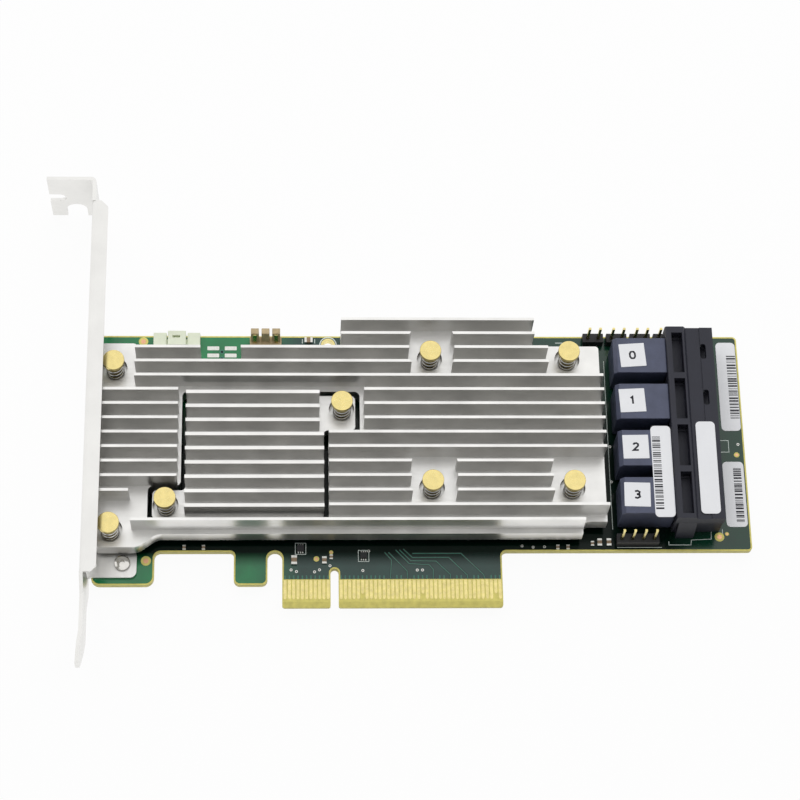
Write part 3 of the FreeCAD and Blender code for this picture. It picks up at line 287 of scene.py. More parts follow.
NODE_FINISH = {
    "circuit_board": "laminate",
    "edge_contacts_component_side": "gold",
    "edge_contacts_solder_side": "gold",
    "bracket": "zinc",
    "bracket_screws": "chrome",
    "bracket_nuts": "zinc",
    "main_heatsink": "aluminium",
    "controller_heatsink": "aluminium",
    "main_heatsink_pins": "brass",
    "controller_heatsink_pins": "brass",
    "main_heatsink_springs": "wire",
    "controller_heatsink_springs": "wire",
    "controller_substrate": "substrate",
    "controller_lid": "tin",
    "controller_thermal_pad": "pad",
    "memory_chips": "black",
    "memory_thermal_pads": "pad",
    "power_coils": "black",
    "boot_flash": "black",
    "port_housing": "housing",
    "port_solder_tails": "tin",
    "header_bodies": "black",
    "header_pins": "gold",
    "cache_connector": "cream",
    "jumper_block": "amber",
    "jumper_blades": "gold",
    "small_ceramics": "ceramic",
    "small_chips": "black",
    "back_capacitors": "ceramic",
}


# width in mm of the small radius on each node's edges
ROUNDED_NODES = {
    "main_heatsink": 0.10,
    "controller_heatsink": 0.12,
    "bracket": 0.08,
    "port_housing": 0.15,
    "port_body_0": 0.15,
    "port_body_1": 0.15,
    "port_body_2": 0.15,
    "port_body_3": 0.15,
    "cache_connector": 0.12,
    "jumper_block": 0.15,
    "header_bodies": 0.10,
    "header_pins": 0.12,
}


# ================================================================ mesh helpers
def make_mesh(name, vertices, faces, material, smooth=None):
    """One piece of the card. Vertices are in mm. Edges flatter than smooth degrees are shaded round."""
    mesh = bpy.data.meshes.new(name)
    mesh.from_pydata([[value * MM for value in vertex] for vertex in vertices], [], faces)
    mesh.validate()
    tidy = bmesh.new()
    tidy.from_mesh(mesh)
    bmesh.ops.remove_doubles(tidy, verts=tidy.verts, dist=SAME_PLACE * MM)
    bmesh.ops.recalc_face_normals(tidy, faces=tidy.faces)
    tidy.to_mesh(mesh)
    tidy.free()
    mesh.materials.append(MATERIALS[material])
    if smooth is not None:
        mesh.polygons.foreach_set("use_smooth", [True] * len(mesh.polygons))
        mesh.set_sharp_from_angle(angle=math.radians(smooth))
    piece = bpy.data.objects.new(name, mesh)
    bpy.context.scene.collection.objects.link(piece)
    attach(piece, BODY)
    return piece


class Heap:
    """Vertices and faces of many like shapes that become one piece."""

    def __init__(self):
        self.vertices = []
        self.faces = []

    def add(self, vertices, faces):
        start = len(self.vertices)
        self.vertices += [tuple(vertex) for vertex in vertices]
        self.faces += [[start + index for index in face] for face in faces]

    def sheet(self, loops, z0, z1):
        """Flat plate between heights z0 and z1. The first loop is its outline and the rest are holes."""
        flat = [[Vector((x, y, 0)) for x, y in loop] for loop in loops]
        count = sum(len(loop) for loop in flat)
        bottom = [(point.x, point.y, z0) for loop in flat for point in loop]
        top = [(x, y, z1) for x, y, _ in bottom]
        triangles = tessellate_polygon(flat)
        faces = [[a, b, c] for a, b, c in triangles]
        faces += [[count + a, count + b, count + c] for a, b, c in triangles]
        start = 0
        for loop in flat:
            size = len(loop)
            for index in range(size):
                here, ahead = start + index, start + (index + 1) % size
                faces.append([here, ahead, count + ahead, count + here])
            start += size
        self.add(bottom + top, faces)

    def box(self, low, high):
        x0, y0, z0 = low
        x1, y1, z1 = high
        self.sheet([[(x0, y0), (x1, y0), (x1, y1), (x0, y1)]], z0, z1)

    def lathe(self, centre, outline, sides=32, hexagonal=0):
        """Turned shape. The outline runs from axis to axis as (radius, z). The first few rings after
        the axis, as many as hexagonal says, are hexagons whose flats lie at that radius."""
        rings = []
        vertices = []
        for radius, z in outline:
            ring = []
            for side in range(sides if radius > 0 else 1):
                angle = 2 * math.pi * side / sides
                reach = radius
                if len(rings) <= hexagonal:
                    reach = radius / math.cos(math.radians((math.degrees(angle) + 30) % 60 - 30))
                ring.append(len(vertices))
                x = centre[0] + reach * math.cos(angle)
                y = centre[1] + reach * math.sin(angle)
                vertices.append((x, y, z))
            rings.append(ring)
        faces = []
        for first, second in zip(rings, rings[1:]):
            for side in range(sides):
                ahead = (side + 1) % sides
                if len(first) == 1 and len(second) == 1:
                    break
                if len(first) == 1:
                    faces.append([first[0], second[side], second[ahead]])
                elif len(second) == 1:
                    faces.append([first[side], first[ahead], second[0]])
                else:
                    faces.append([first[side], first[ahead], second[ahead], second[side]])
        self.add(vertices, faces)

    def tube(self, path, radius, sides=10):
        """Round wire along a path of points."""
        points = [Vector(point) for point in path]
        rings = []
        for index, point in enumerate(points):
            before = points[max(index - 1, 0)]
            after = points[min(index + 1, len(points) - 1)]
            along = (after - before).normalized()
            across = along.cross(Vector((0, 0, 1))).normalized()
            upward = across.cross(along)
            ring = []
            for side in range(sides):
                angle = 2 * math.pi * side / sides
                ring.append(point + (across * math.cos(angle) + upward * math.sin(angle)) * radius)
            rings.append(ring)
        vertices = [vertex for ring in rings for vertex in ring]
        faces = []
        for index in range(len(rings) - 1):
            for side in range(sides):
                ahead = (side + 1) % sides
                a, b = index * sides, (index + 1) * sides
                faces.append([a + side, a + ahead, b + ahead, b + side])
        faces.append(list(range(sides)))
        faces.append([(len(rings) - 1) * sides + side for side in range(sides)])
        self.add(vertices, faces)

    def piece(self, name, material, slot=None, smooth=None):
        return make_mesh(name, self.vertices, self.faces, material, smooth)


def rounded(x0, x1, y0, y1, radius, steps=6):
    """Rectangle with round corners, anticlockwise."""
    points = []
    for cx, cy, start in ((x1 - radius, y0 + radius, -90), (x1 - radius, y1 - radius, 0),
                          (x0 + radius, y1 - radius, 90), (x0 + radius, y0 + radius, 180)):
        for step in range(steps + 1):
            angle = math.radians(start + 90 * step / steps)
            points.append((cx + radius * math.cos(angle), cy + radius * math.sin(angle)))
    return points


def circle(centre, radius, sides=28):
    return [(centre[0] + radius * math.cos(2 * math.pi * side / sides),
             centre[1] + radius * math.sin(2 * math.pi * side / sides)) for side in range(sides)]


def strip(points, width):
    """Outline of a flat line of the given width along the points, with mitred corners."""
    flat = [Vector(point) for point in points]
    left, right = [], []
    for index, point in enumerate(flat):
        back = (point - flat[index - 1]).normalized() if index > 0 else None
        ahead = (flat[index + 1] - point).normalized() if index < len(flat) - 1 else None
        back = back or ahead
        ahead = ahead or back
        along = (back + ahead).normalized()
        normal = Vector((-along.y, along.x))
        reach = width / 2 / max(0.3, along.dot(ahead))
        left.append(tuple(point + normal * reach))
        right.append(tuple(point - normal * reach))
    return left + right[::-1]


def islands(node):
    """(lowest, highest) corner in mm of each separate solid in a CAD node."""
    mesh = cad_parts[node].data
    places = {}
    owner = []
    parent = []
    for vertex in mesh.vertices:
        key = tuple(round(value / MM, 3) for value in vertex.co)
        if key not in places:
            places[key] = len(parent)
            parent.append(len(parent))
        owner.append(places[key])

    def root(index):
        while parent[index] != index:
            parent[index] = parent[parent[index]]
            index = parent[index]
        return index

    for polygon in mesh.polygons:
        first = root(owner[polygon.vertices[0]])
        for vertex in polygon.vertices[1:]:
            parent[root(owner[vertex])] = first
    boxes = {}
    for key, index in places.items():
        low, high = boxes.setdefault(root(index), ([1e9] * 3, [-1e9] * 3))
        for axis in range(3):
            low[axis] = min(low[axis], key[axis])
            high[axis] = max(high[axis], key[axis])
    return sorted(boxes.values(), key=lambda pair: (round(pair[0][0], 1), round(pair[0][1], 1)))


def middle(low, high):
    return ((low[0] + high[0]) / 2, (low[1] + high[1]) / 2)


def flat_area(low, high):
    """Low x, high x, low y and high y in mm between two corners in metres."""
    return [value / MM for value in (low.x, high.x, low.y, high.y)]


def outline_loops(node, height):
    """Closed loops in mm round the flat faces of a node at one height, the longest first."""
    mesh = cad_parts[node].data
    edges = {}
    for polygon in mesh.polygons:
        corners = [mesh.vertices[index].co / MM for index in polygon.vertices]
        if any(abs(corner.z - height) > SAME_HEIGHT for corner in corners):
            continue
        keys = [(round(corner.x, 3), round(corner.y, 3)) for corner in corners]
        for index, key in enumerate(keys):
            edge = (key, keys[(index + 1) % len(keys)])
            if edge[::-1] in edges:
                del edges[edge[::-1]]
            else:
                edges[edge] = True
    following = {start: end for start, end in edges}
    loops = []
    while following:
        start = next(iter(following))
        loop = [start]
        here = following.pop(start)
        while here != start:
            loop.append(here)
            here = following.pop(here)
        loops.append(loop)
    return sorted(loops, key=len_of_loop, reverse=True)


def len_of_loop(loop):
    return sum(math.dist(loop[index - 1], loop[index]) for index in range(len(loop)))


def turning(loop):
    """Twice the area in a loop, above 0 where it runs anticlockwise."""
    pairs = [(loop[index - 1], loop[index]) for index in range(len(loop))]
    return sum(first[0] * second[1] - second[0] * first[1] for first, second in pairs)


def inset(loop, gap):
    """Loop moved sideways by gap, to the left of its own direction."""
    moved = []
    count = len(loop)
    for index in range(count):
        here = Vector(loop[index])
        back = (here - Vector(loop[index - 1])).normalized()
        ahead = (Vector(loop[(index + 1) % count]) - here).normalized()
        along = (back + ahead).normalized()
        normal = Vector((-along.y, along.x))
        moved.append(tuple(here + normal * (gap / max(0.3, along.dot(ahead)))))
    return moved


# ================================================================ carried-over CAD nodes
def dress_nodes():
    for name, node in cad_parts.items():
        family = name.rstrip("0123456789").rstrip("_")
        material = NODE_FINISH.get(name) or {"port_body": "port_body", "port_contacts": "gold"}[family]
        node.data.materials.clear()
        node.data.materials.append(MATERIALS[material])


WELD_REACH = 0.002           # joins the corners that the CAD mesh repeats
SHARP_EDGE = 50              # degrees: flatter edges stay as they are


def round_edges(name, width, segments=2):
    """Small radius on the sharp edges of a CAD node."""
    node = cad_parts[name]
    weld = node.modifiers.new("weld", "WELD")
    weld.merge_threshold = WELD_REACH * MM
    bevel = node.modifiers.new("round", "BEVEL")
    bevel.width = width * MM
    bevel.segments = segments
    bevel.limit_method = "ANGLE"
    bevel.angle_limit = math.radians(SHARP_EDGE)
    bevel.harden_normals = False


# ================================================================ board surface
def make_mask():
    """Solder mask on both faces, with the uncovered rim that routing leaves along the edge."""
    for name, height, outward in (("solder_mask_front", 0.0, 1), ("solder_mask_back", BOARD_UNDER, -1)):
        loops = outline_loops("circuit_board", height)
        kept = []
        for index, loop in enumerate(loops):
            ordered = loop if (turning(loop) > 0) == (index == 0) else loop[::-1]
            gap = MASK_INSET if index == 0 else HOLE_CLEARANCE
            moved = inset(ordered, gap)
            if index == 0:
                tab = CONTACT_TAB_LEFT - TAB_MARGIN
                moved = [(x, max(y, MASK_FRONT)) if x > tab else (x, y) for x, y in moved]
                moved = [point for step, point in enumerate(moved)
                         if math.dist(point, moved[step - 1]) > SAME_PLACE]
            kept.append(moved)
        heap = Heap()
        heap.sheet(kept, height, height + outward * MASK_THICKNESS)
        heap.piece(name, "mask", "board_laminate")


VIA_RADIUS = 0.34
VIA_HOLE_RADIUS = 0.15
TRACE_GAP_WIDTH = 0.44       # the trace with the dark gap on each side
TRACE_WIDTH = 0.19
TARGET_CLEARING = 1.9        # its radius, in radii of the dot


class Face:
    """Flat layers on one face of the board. Heights count outward from the uncovered laminate."""

    def __init__(self, outward):
        self.outward = outward
        self.ground = 0.0 if outward > 0 else BOARD_UNDER
        self.heaps = {}

    def layer(self, loops, material, level, slot="board_laminate"):
        """Sheet on the mask. Higher levels lie over lower ones."""
        heap = self.heaps.setdefault((material, slot), Heap())
        low = self.ground + self.outward * MASK_THICKNESS / 2
        high = self.ground + self.outward * (MASK_THICKNESS + LAYER * level)
        heap.sheet(loops, low, high)

    def disc(self, place, radius, material, level, slot="board_laminate"):
        self.layer([circle(place, radius)], material, level, slot)

    def ring(self, place, outer, inner, material, level, slot="board_laminate"):
        self.layer([circle(place, outer), circle(place, inner)], material, level, slot)

    def line(self, points, width, material, level):
        self.layer([strip(points, width)], material, level)

    def via(self, place):
        self.disc(place, VIA_RADIUS, "tin", 3, "tin_plate")
        # painted shade: a dark disc stands for the via's hole
        self.disc(place, VIA_HOLE_RADIUS, "void", 4)

    def trace(self, points):
        """Trace that shows as a lighter line between two dark gaps."""
        self.line(points, TRACE_GAP_WIDTH, "mask_gap", 1)
        self.line(points, TRACE_WIDTH, "mask_copper", 2)

    def target(self, place, radius):
        """Bare copper dot in its clearing."""
        self.disc(place, radius * TARGET_CLEARING, "laminate", 1)
        self.disc(place, radius, "copper", 3)

    def border(self, area, outer, inner, corners):
        """Printed line round an area of low x, high x, low y and high y."""
        x0, x1, y0, y1 = area
        self.layer([rounded(x0 - reach[0], x1 + reach[0], y0 - reach[1], y1 + reach[1], corner)
                    for reach, corner in zip((outer, inner), corners)], "ink", 3)

    def pieces(self, side):
        for (material, slot), heap in self.heaps.items():
            heap.piece("board_%s_%s" % (side, material), material, slot)


# places on the component side: lines as points along them, targets as x, y and radius
TAB_TRACES = (
    ((11.7, 13.4), (13.3, 11.5), (13.0, 6.8)),
    ((12.6, 13.4), (16.9, 8.8), (17.0, 6.8)),
    ((14.3, 14.0), (17.4, 10.6), (22.1, 10.3), (23.0, 9.2), (23.0, 6.8)),
    ((15.2, 14.0), (17.8, 11.3), (23.7, 11.2), (27.0, 7.9), (27.0, 6.8)),
    ((16.1, 14.2), (18.2, 12.1), (26.7, 12.1), (31.0, 7.7), (31.0, 6.8)),
    ((18.2, 13.1), (29.6, 13.1), (34.8, 7.8), (35.0, 6.8)))
FRONT_VIAS = ((-10.1, 9.1), (-8.85, 8.7), (-4.65, 8.6), (-3.5, 9.1), (-1.05, 10.1), (6.6, 8.9),
              (8.0, 13.7), (19.3, 9.0), (20.5, 9.0), (44.0, 14.9), (46.6, 14.6), (66.0, 40.0),
              (65.9, 31.0), (91.9, 39.2), (96.9, 40.6), (92.2, 41.8), (49.3, 14.7))
FRONT_TARGETS = ((-43.8, 11.4, 0.62), (-4.2, 11.8, 0.35), (-0.75, 13.4, 0.25), (-45.7, 67.4, 0.6),
                 (96.4, 37.9, 0.35), (90.8, 17.05, 0.6), (92.65, 17.8, 0.25))
FRONT_INK = (
    ((66.4, 14.47), (77.0, 14.47)),
    ((78.7, 15.95), (78.7, 15.08), (83.9, 15.06), (84.1, 16.3), (88.8, 16.5), (89.0, 19.4)),
    ((65.6, 19.0), (65.6, 62.4)),
    ((91.6, 17.9), (91.6, 19.0)),
    ((92.0, 38.6), (94.6, 38.6), (94.6, 41.6), (92.0, 41.6), (92.0, 38.6)),
    ((-7.4, 68.1), (-7.4, 67.0)), ((-4.4, 68.1), (-4.4, 67.0)),
    ((2.4, 68.1), (8.0, 68.1)), ((54.0, 67.2), (57.4, 67.2)), ((54.0, 66.2), (56.0, 66.2)))
PAD_BARS = ((-30.3, -27.45), (-26.1, -23.25))
PAD_BAR_ROWS = (65.65, 63.75)
PAD_BAR_HALF = 0.5
PAD_BAR_CORNER = 0.15
PAD_HOLES = ((-26.78, 64.7), (-26.78, 62.9))
PAD_HOLE_RING = 0.6
PAD_HOLE_RADIUS = 0.28
INK_WIDTH = 0.16
STUB_LENGTH = 0.9            # short traces at the contacts without a long one
STUB_WIDTH = 0.3
STUB_CLEARANCE = 0.6         # no short trace this near to a long one
# printed borders: how far the outer and inner edge stand out along X and Y, and their corner radii
CHIP_BORDER = ((0.5, 0.75), (0.36, 0.61), (0.1, 0.1))


def make_front_layers():
    """Traces, vias, test targets, silkscreen and exposed pads on the component side."""
    face = Face(1)
    for points in TAB_TRACES:
        face.trace(points)
    taken = [points[-1][0] for points in TAB_TRACES]
    for low, high in islands("edge_contacts_component_side"):
        x = middle(low, high)[0]
        if all(abs(x - other) > STUB_CLEARANCE for other in taken):
            face.line([(x, MASK_FRONT), (x, MASK_FRONT + STUB_LENGTH)], STUB_WIDTH, "mask_copper", 1)
    for place in FRONT_VIAS:
        face.via(place)
    for x, y, radius in FRONT_TARGETS:
        face.target((x, y), radius)
    for points in FRONT_INK:
        face.line(points, INK_WIDTH, "ink", 3)
    for x0, x1 in PAD_BARS:
        for y in PAD_BAR_ROWS:
            bar = rounded(x0, x1, y - PAD_BAR_HALF, y + PAD_BAR_HALF, PAD_BAR_CORNER)
            face.layer([bar], "tin", 3, "tin_plate")
    for place in PAD_HOLES:
        face.disc(place, PAD_HOLE_RING, "mask_copper", 1)
        # painted shade: a dark disc stands for the pad's hole
        face.disc(place, PAD_HOLE_RADIUS, "void", 2)
    for low, high in islands("small_chips"):
        face.border((low[0], high[0], low[1], high[1]), *CHIP_BORDER)
    face.ring(PLATED_HOLE, *HOLE_INK_RING, "ink", 3)
    face.ring(PLATED_HOLE, *HOLE_RING, "gold", 3, "tin_plate")
    face.pieces("front")


BACK_RISE = 9.8              # where a back trace steps aside
BACK_JOG = 0.5
BACK_TRACE_END = 19.0
BACK_TRACE_STEP = 1.4        # between the lengths, which follow in turn so that the vias are staggered
BACK_TRACE_LENGTHS = 4
BACK_VIA_COLUMNS = 4
BACK_VIA_ROWS = 4
BACK_VIA_PITCH = 3.4
BACK_VIA_START = (1.7, 2.0)
PIN_PAD = (2.9, 1.9)         # outer and inner radius
PIN_PAD_INK = (3.5, 3.3)
CAPACITOR_BORDER = ((2, 2), (1.8, 1.8), (0.3, 0.2))
TAIL_BORDER = ((1.6, 1.6), (1.4, 1.4), (0.3, 0.2))


def make_back_layers():
    """Traces, vias, pads round the pins and silkscreen on the solder side."""
    face = Face(-1)
    contacts = islands("edge_contacts_solder_side")
    for index, (low, high) in enumerate(contacts):
        x = middle(low, high)[0]
        shift = math.copysign(BACK_JOG, -x)
        end = BACK_TRACE_END + BACK_TRACE_STEP * (index % BACK_TRACE_LENGTHS)
        face.trace([(x, MASK_FRONT), (x, BACK_RISE), (x + shift, BACK_RISE + BACK_JOG), (x + shift, end)])
        face.via((x + shift, end))
    for pins in ("main_heatsink_pins", "controller_heatsink_pins"):
        for low, high in islands(pins):
            place = middle(low, high)
            face.ring(place, *PIN_PAD, "tin", 3, "tin_plate")
            face.ring(place, *PIN_PAD_INK, "ink", 3)
    area = flat_area(*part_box("back_capacitors"))
    face.border(area, *CAPACITOR_BORDER)
    for column in range(BACK_VIA_COLUMNS):
        for row in range(BACK_VIA_ROWS):
            face.via((area[0] + BACK_VIA_START[0] + column * BACK_VIA_PITCH,
                      area[2] + BACK_VIA_START[1] + row * BACK_VIA_PITCH))
    face.border(flat_area(*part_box("port_solder_tails")), *TAIL_BORDER)
    face.ring(PLATED_HOLE, *HOLE_RING, "copper", 3, "tin_plate")
    face.pieces("back")


# ================================================================ small parts
CAP_SHARE = 0.26
CAP_OUTSET = 0.03


def make_terminals():
    """Tinned ends on the ceramics of both faces."""
    for node in ("small_ceramics", "back_capacitors"):
        heap = Heap()
        for low, high in islands(node):
            along = 0 if high[0] - low[0] > high[1] - low[1] else 1
            reach = (high[along] - low[along]) * CAP_SHARE
            for end in (0, 1):
                start = [value - CAP_OUTSET for value in low]
                stop = [value + CAP_OUTSET for value in high]
                if end:
                    start[along] = high[along] - reach
                else:
                    stop[along] = low[along] + reach
                heap.box(start, stop)
        heap.piece(node + "_ends", "tin", "tin_plate")


LEAD_SHIFTS = (-0.5, 0, 0.5)
LEAD_HALF = 0.13
LEAD_REACH = 0.45            # outside the body
LEAD_OVERLAP = 0.1           # inside it
LEAD_TOP = 0.2


def make_leads():
    """Three plain flat leads on each long side of the small chips."""
    heap = Heap()
    for low, high in islands("small_chips"):
        x, _ = middle(low, high)
        for shift in LEAD_SHIFTS:
            for y0, y1 in ((low[1] - LEAD_REACH, low[1] + LEAD_OVERLAP),
                           (high[1] - LEAD_OVERLAP, high[1] + LEAD_REACH)):
                heap.box((x + shift - LEAD_HALF, y0, MASK_THICKNESS), (x + shift + LEAD_HALF, y1, LEAD_TOP))
    heap.piece("small_chip_leads", "tin", "tin_plate")


SOLDER_CONES = (("header_pins", 0.62, 0.75), ("port_solder_tails", 0.36, 0.4))    # foot radius, height
SOLDER_NECK = 0.62           # radius half way up, in widths of the pin
SOLDER_TIP = 0.85            # radius at the tip, in radii of the neck


def make_solder():
    """Solder cones round the pins and tails that stand out of the back."""
    heap = Heap()
    ground = BOARD_UNDER - MASK_THICKNESS / 2
    for node, foot, height in SOLDER_CONES:
        for low, high in islands(node):
            neck = (high[0] - low[0]) * SOLDER_NECK
            tip = ground - height
            heap.lathe(middle(low, high), [(0, ground), (foot, ground), (neck, ground - height / 2),
                                           (neck * SOLDER_TIP, tip), (0, tip)], 16)
    heap.piece("solder_cones", "tin", "tin_plate", smooth=50)


SCREW_SIDE = 0.6
SOCKET = 0.6
SOCKET_DEPTH = 0.8
SHANK = 1.3
DOME_START = 20              # degrees from the axis
DOME_STEPS = 8


def make_screws():
    """Bracket screws in finer facets: domed head, hexagon socket and plain shank."""
    heap = Heap()
    for low, high in islands("bracket_screws"):
        radius = (high[0] - low[0]) / 2
        top, seat = high[2], BRACKET_SHEET
        rise = top - seat - SCREW_SIDE
        dome = []
        for step in range(DOME_STEPS + 1):
            angle = math.radians(DOME_START + (90 - DOME_START) * step / DOME_STEPS)
            dome.append((radius * math.sin(angle), seat + SCREW_SIDE + rise * math.cos(angle)))
        outline = [(0, top - SOCKET_DEPTH), (SOCKET, top - SOCKET_DEPTH), (SOCKET, dome[0][1])] + dome
        outline += [(radius, seat), (SHANK, seat), (SHANK, low[2]), (0, low[2])]
        heap.lathe(middle(low, high), outline, 48, hexagonal=2)
    domed = heap.piece("bracket_screws_domed", "chrome", "zinc_steel", smooth=40)
    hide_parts("bracket_screws")


WINDOW_LEFT, WINDOW_RIGHT = 80.6, 83.4
WINDOW_HALF = 4.95
WINDOW_FLOOR = 7.65
WINDOW_PLATE = 0.2


def make_window_floors():
    """Dark plates at the bottom of the latch windows in the connector housing."""
    heap = Heap()
    for port in range(len(PORT_LABELS)):
        low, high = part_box("port_body_%d" % port)
        y = (low.y + high.y) / 2 / MM
        heap.box((WINDOW_LEFT, y - WINDOW_HALF, WINDOW_FLOOR - WINDOW_PLATE),
                 (WINDOW_RIGHT, y + WINDOW_HALF, WINDOW_FLOOR))
    heap.piece("latch_window_floors", "housing")


def make_hole_plating():
    """Metal wall of the plated hole, just inside the rings round it."""
    heap = Heap()
    loops = [circle(PLATED_HOLE, PLATED_HOLE_RADIUS + PLATING / 2, 40),
             circle(PLATED_HOLE, PLATED_HOLE_RADIUS - PLATING / 2, 40)]
    heap.sheet(loops, BOARD_UNDER, MASK_THICKNESS)
    heap.piece("plated_hole_wall", "gold")


# ================================================================ labels
def place_turned(centre, turn, points):
    """Points turned by some degrees and moved to a centre."""
    cosine, sine = math.cos(math.radians(turn)), math.sin(math.radians(turn))
    return [(centre[0] + x * cosine - y * sine, centre[1] + x * sine + y * cosine) for x, y in points]


BAR_WIDTHS = (0.14, 0.14, 0.28, 0.42)
BAR_GAPS = (0.16, 0.16, 0.3, 0.44)
BAR_END = 0.3                # no bar starts this near to the end


def add_bars(heap, area, top, seed):
    """Plain stripes of uneven width across an area."""
    x0, x1, y0, y1 = area
    drawn = random.Random(seed)
    y = y0
    while y < y1 - BAR_END:
        width = drawn.choice(BAR_WIDTHS)
        heap.box((x0, y, top - LAYER), (x1, y + width, top + LAYER))
        y += width + drawn.choice(BAR_GAPS)


def make_labels():
    """Paper labels on the ports, the housing and the board, with plain numbers and stripes."""
    paper, ink = Heap(), Heap()
    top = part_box("port_body_0")[1].z / MM
    length, width = PORT_LABEL_SIZE
    for (centre, turn), digit in zip(PORT_LABELS, reversed(DIGITS)):
        corners = rounded(-length / 2, length / 2, -width / 2, width / 2, PORT_LABEL_CORNER, 2)
        paper.sheet([place_turned(centre, turn, corners)], top, top + LABEL_THICKNESS)
        for stroke in digit:
            points = [(x * DIGIT_HEIGHT, y * DIGIT_HEIGHT) for x, y in stroke]
            line = strip(place_turned(centre, turn, points), DIGIT_LINE)
            ink.sheet([line], top + LABEL_THICKNESS - LAYER, top + LABEL_THICKNESS + LAYER)
    spread = [(BODY_STRIP, top), (HOUSING_STRIP, HOUSING_LIP)]
    spread += [(label, MASK_THICKNESS) for label in BOARD_LABELS]
    for seed, ((area, bars), low) in enumerate(spread):
        paper.sheet([rounded(*area, LABEL_CORNER)], low, low + LABEL_THICKNESS)
        if bars:
            add_bars(ink, bars, low + LABEL_THICKNESS, seed)
    paper.piece("labels", "paper")
    ink.piece("label_print", "print")


# ================================================================ spring pins
def make_pins():
    """Turned pins and round-wire springs in place of the plain CAD ones."""
    for family, label in (("main", "main_heatsink"), ("controller", "controller_heatsink")):
        pins, coils = Heap(), Heap()
        for low, high in islands(label + "_pins"):
            centre = middle(low, high)
            turn_pin(pins, centre, (high[0] - low[0]) / 2, low[2], high[2])
        for low, high in islands(label + "_springs"):
            coil(coils, middle(low, high), (high[0] - low[0]) / 2, low[2], high[2])
        turned = pins.piece(family + "_pins_turned", "brass", "pin_brass", smooth=35)
        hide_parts(label + "_pins")
        wound = coils.piece(family + "_springs_wound", "wire", "spring_steel", smooth=60)
        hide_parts(label + "_springs")


PIN_HEAD = 1.1
PIN_SHAFT = 1.15
PIN_EDGE = 0.16              # radius of the head's upper rim
PIN_CHAMFER = 0.08           # under the head's rim
BARB_LENGTH = 1.85
BARB_SHELF = 0.6             # how far the barb's top stands out of the shaft
BARB_RIM = 0.7               # how far its widest place does
BARB_RIM_DROP = 0.15
TIP_HEIGHT = 0.1
TIP_SHARES = (0.75, 0.6)     # radius above the tip and at it, in radii of the shaft
SPRING_WIRE = 0.5
SPRING_COILS = 4.5
SPRING_CLOSED = 0.6          # flat turns at each end
SPRING_STEPS = 28            # points in each turn


def turn_pin(heap, centre, radius, low, high):
    """Head with a rounded rim, shaft, and pointed barb."""
    rim = [(radius - PIN_EDGE + PIN_EDGE * math.sin(math.radians(30 * k)),
            high - PIN_EDGE + PIN_EDGE * math.cos(math.radians(30 * k))) for k in range(4)]
    barb = low + BARB_LENGTH
    heap.lathe(centre, [(0, high)] + rim + [
        (radius, high - PIN_HEAD + PIN_CHAMFER), (radius - PIN_CHAMFER, high - PIN_HEAD),
        (PIN_SHAFT, high - PIN_HEAD), (PIN_SHAFT, barb), (PIN_SHAFT + BARB_SHELF, barb),
        (PIN_SHAFT + BARB_RIM, barb - BARB_RIM_DROP), (PIN_SHAFT * TIP_SHARES[0], low + TIP_HEIGHT),
        (PIN_SHAFT * TIP_SHARES[1], low), (0, low)], 48)


def coil(heap, centre, radius, low, high):
    """Helix with closed end turns."""
    ring = radius - SPRING_WIRE / 2
    steps = int(SPRING_COILS * SPRING_STEPS)
    path = []
    for step in range(steps + 1):
        share = step / steps
        climb = (share * SPRING_COILS - SPRING_CLOSED) / (SPRING_COILS - 2 * SPRING_CLOSED)
        rise = min(max(climb, 0.0), 1.0)
        z = low + SPRING_WIRE / 2 + (high - low - SPRING_WIRE) * rise
        angle = 2 * math.pi * share * SPRING_COILS
        path.append((centre[0] + ring * math.cos(angle), centre[1] + ring * math.sin(angle), z))
    heap.tube(path, SPRING_WIRE / 2)


# ================================================================ stage
def look_from(target, azimuth, elevation, distance, roll=0.0):
    """World matrix of something at a distance that looks at a target."""
    side, up = math.radians(azimuth), math.radians(elevation)
    back = Vector((math.sin(side) * math.cos(up), -math.cos(side) * math.cos(up), math.sin(up)))
    right = Vector((math.cos(side), math.sin(side), 0))
    upward = back.cross(right)
    turn = math.radians(roll)
    rolled_right = right * math.cos(turn) + upward * math.sin(turn)
    rolled_up = upward * math.cos(turn) - right * math.sin(turn)
    place = (Vector(target) + back * distance) * MM
    matrix = Matrix((rolled_right, rolled_up, back)).transposed().to_4x4()
    matrix.translation = place
    return matrix


def make_camera():
    data = bpy.data.cameras.new("camera")
    data.lens = CAMERA_LENS
    data.sensor_width = SENSOR
    data.clip_start = 0.01
    camera = bpy.data.objects.new("camera", data)
    bpy.context.scene.collection.objects.link(camera)
    camera.matrix_world = look_from(CAMERA_TARGET, CAMERA_AZIMUTH, CAMERA_ELEVATION, CAMERA_DISTANCE,
                                    CAMERA_ROLL)
    bpy.context.scene.camera = camera


def area_light(name, azimuth, elevation, power, size, distance):
    data = bpy.data.lights.new(name, "AREA")
    data.shape = "RECTANGLE"
    data.size = size[0] * MM
    data.size_y = size[1] * MM
    data.energy = power
    light = bpy.data.objects.new(name, data)
    light.visible_glossy = False
    bpy.context.scene.collection.objects.link(light)
    light.matrix_world = look_from(CAMERA_TARGET, azimuth, elevation, distance)


def calculate(tree, operation, first, second):
    """Output of a math node. Each value is a number or an output."""
    node = tree.nodes.new("ShaderNodeMath")
    node.operation = operation
    for socket, value in zip(node.inputs, (first, second)):
        if isinstance(value, (int, float)):
            socket.default_value = value
        else:
            tree.links.new(value, socket)
    return node.outputs[0]


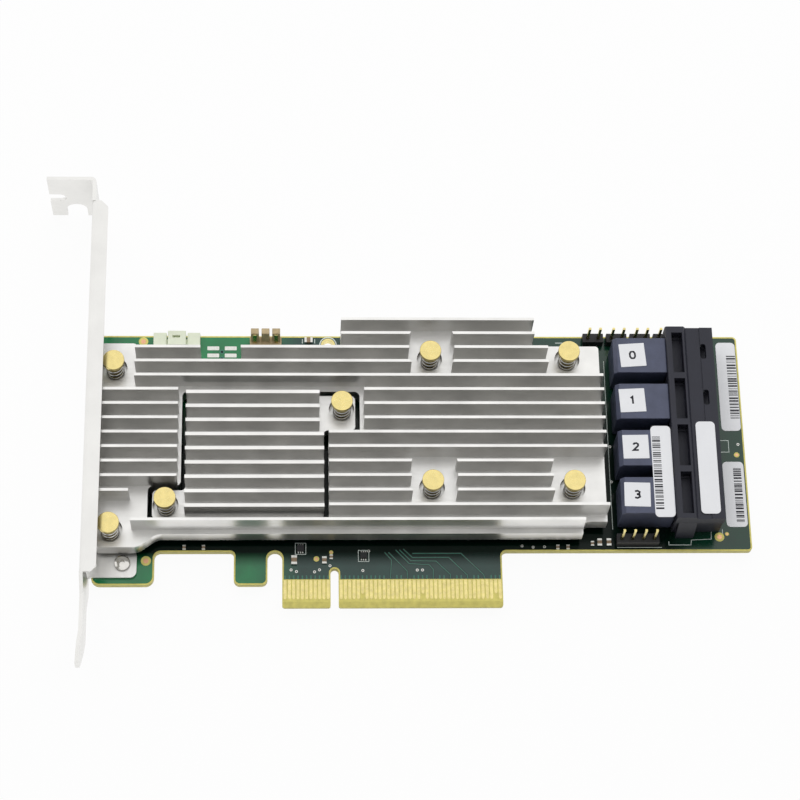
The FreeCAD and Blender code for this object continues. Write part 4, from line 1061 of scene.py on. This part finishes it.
def seen_directly(tree):
    """Share of plain white that a ray finds: all for camera, glass and mirrored rays, less for rays
    mirrored again, and none for the rays that light matt surfaces."""
    path = tree.nodes.new("ShaderNodeLightPath")
    again = calculate(tree, "GREATER_THAN", path.outputs["Glossy Depth"], 1.5)
    loss = calculate(tree, "MULTIPLY", again, (1 - WORLD_DEEP) / (1 - WORLD_FILL))
    kept = calculate(tree, "SUBTRACT", 1.0, loss)
    mirrored = calculate(tree, "MULTIPLY", path.outputs["Is Glossy Ray"], kept)
    direct = calculate(tree, "MAXIMUM", path.outputs["Is Camera Ray"], path.outputs["Is Transmission Ray"])
    return calculate(tree, "MAXIMUM", direct, mirrored)


def make_world():
    world = bpy.data.worlds.new("studio")
    world.use_nodes = True
    tree = world.node_tree
    spread = tree.nodes.new("ShaderNodeMapRange")
    spread.inputs["To Min"].default_value = WORLD_FILL
    tree.links.new(seen_directly(tree), spread.inputs["Value"])
    background = tree.nodes["Background"]
    background.inputs["Color"].default_value = (1, 1, 1, 1)
    tree.links.new(spread.outputs["Result"], background.inputs["Strength"])
    bpy.context.scene.world = world


def make_floor():
    low = CAD_BOX[0][2] / MM
    reach = FLOOR_REACH
    mesh = bpy.data.meshes.new("floor")
    corners = [(-reach, -reach), (reach, -reach), (reach, reach), (-reach, reach)]
    mesh.from_pydata([(x * MM, y * MM, low * MM) for x, y in corners], [], [[0, 1, 2, 3]])
    material = bpy.data.materials.new("floor")
    material.use_nodes = True
    tree = material.node_tree
    tree.nodes.remove(tree.nodes["Principled BSDF"])
    matt = tree.nodes.new("ShaderNodeBsdfDiffuse")
    matt.inputs["Color"].default_value = (FLOOR_GREY, FLOOR_GREY, FLOOR_GREY, 1)
    white = tree.nodes.new("ShaderNodeEmission")
    mix = tree.nodes.new("ShaderNodeMixShader")
    tree.links.new(calculate(tree, "MULTIPLY", seen_directly(tree), FLOOR_FILL), mix.inputs[0])
    tree.links.new(matt.outputs[0], mix.inputs[1])
    tree.links.new(white.outputs[0], mix.inputs[2])
    tree.links.new(mix.outputs[0], tree.nodes["Material Output"].inputs["Surface"])
    mesh.materials.append(material)
    floor = bpy.data.objects.new("floor", mesh)
    bpy.context.scene.collection.objects.link(floor)


def make_stage():
    make_camera()
    make_world()
    make_floor()
    area_light("key", KEY_AZIMUTH, KEY_ELEVATION, KEY_POWER, KEY_SIZE, KEY_DISTANCE)
    bpy.context.scene.view_settings.view_transform = "Standard"


# ================================================================ build
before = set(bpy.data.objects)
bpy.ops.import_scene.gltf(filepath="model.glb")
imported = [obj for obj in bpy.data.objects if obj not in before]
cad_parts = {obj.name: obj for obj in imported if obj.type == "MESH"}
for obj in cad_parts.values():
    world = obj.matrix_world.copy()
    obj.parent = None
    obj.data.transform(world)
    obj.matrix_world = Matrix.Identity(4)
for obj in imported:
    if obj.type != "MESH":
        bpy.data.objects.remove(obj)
CAD_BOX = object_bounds()
BOARD_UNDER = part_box("circuit_board")[0].z / MM
CONTACT_TAB_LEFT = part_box("edge_contacts_component_side")[0].x / MM
MATERIALS = make_materials()

make_stage()
dress_nodes()
for name, width in ROUNDED_NODES.items():
    round_edges(name, width)
make_mask()
make_front_layers()
make_back_layers()
make_terminals()
make_leads()
make_solder()
make_screws()
make_window_floors()
make_hole_plating()
make_pins()
make_labels()
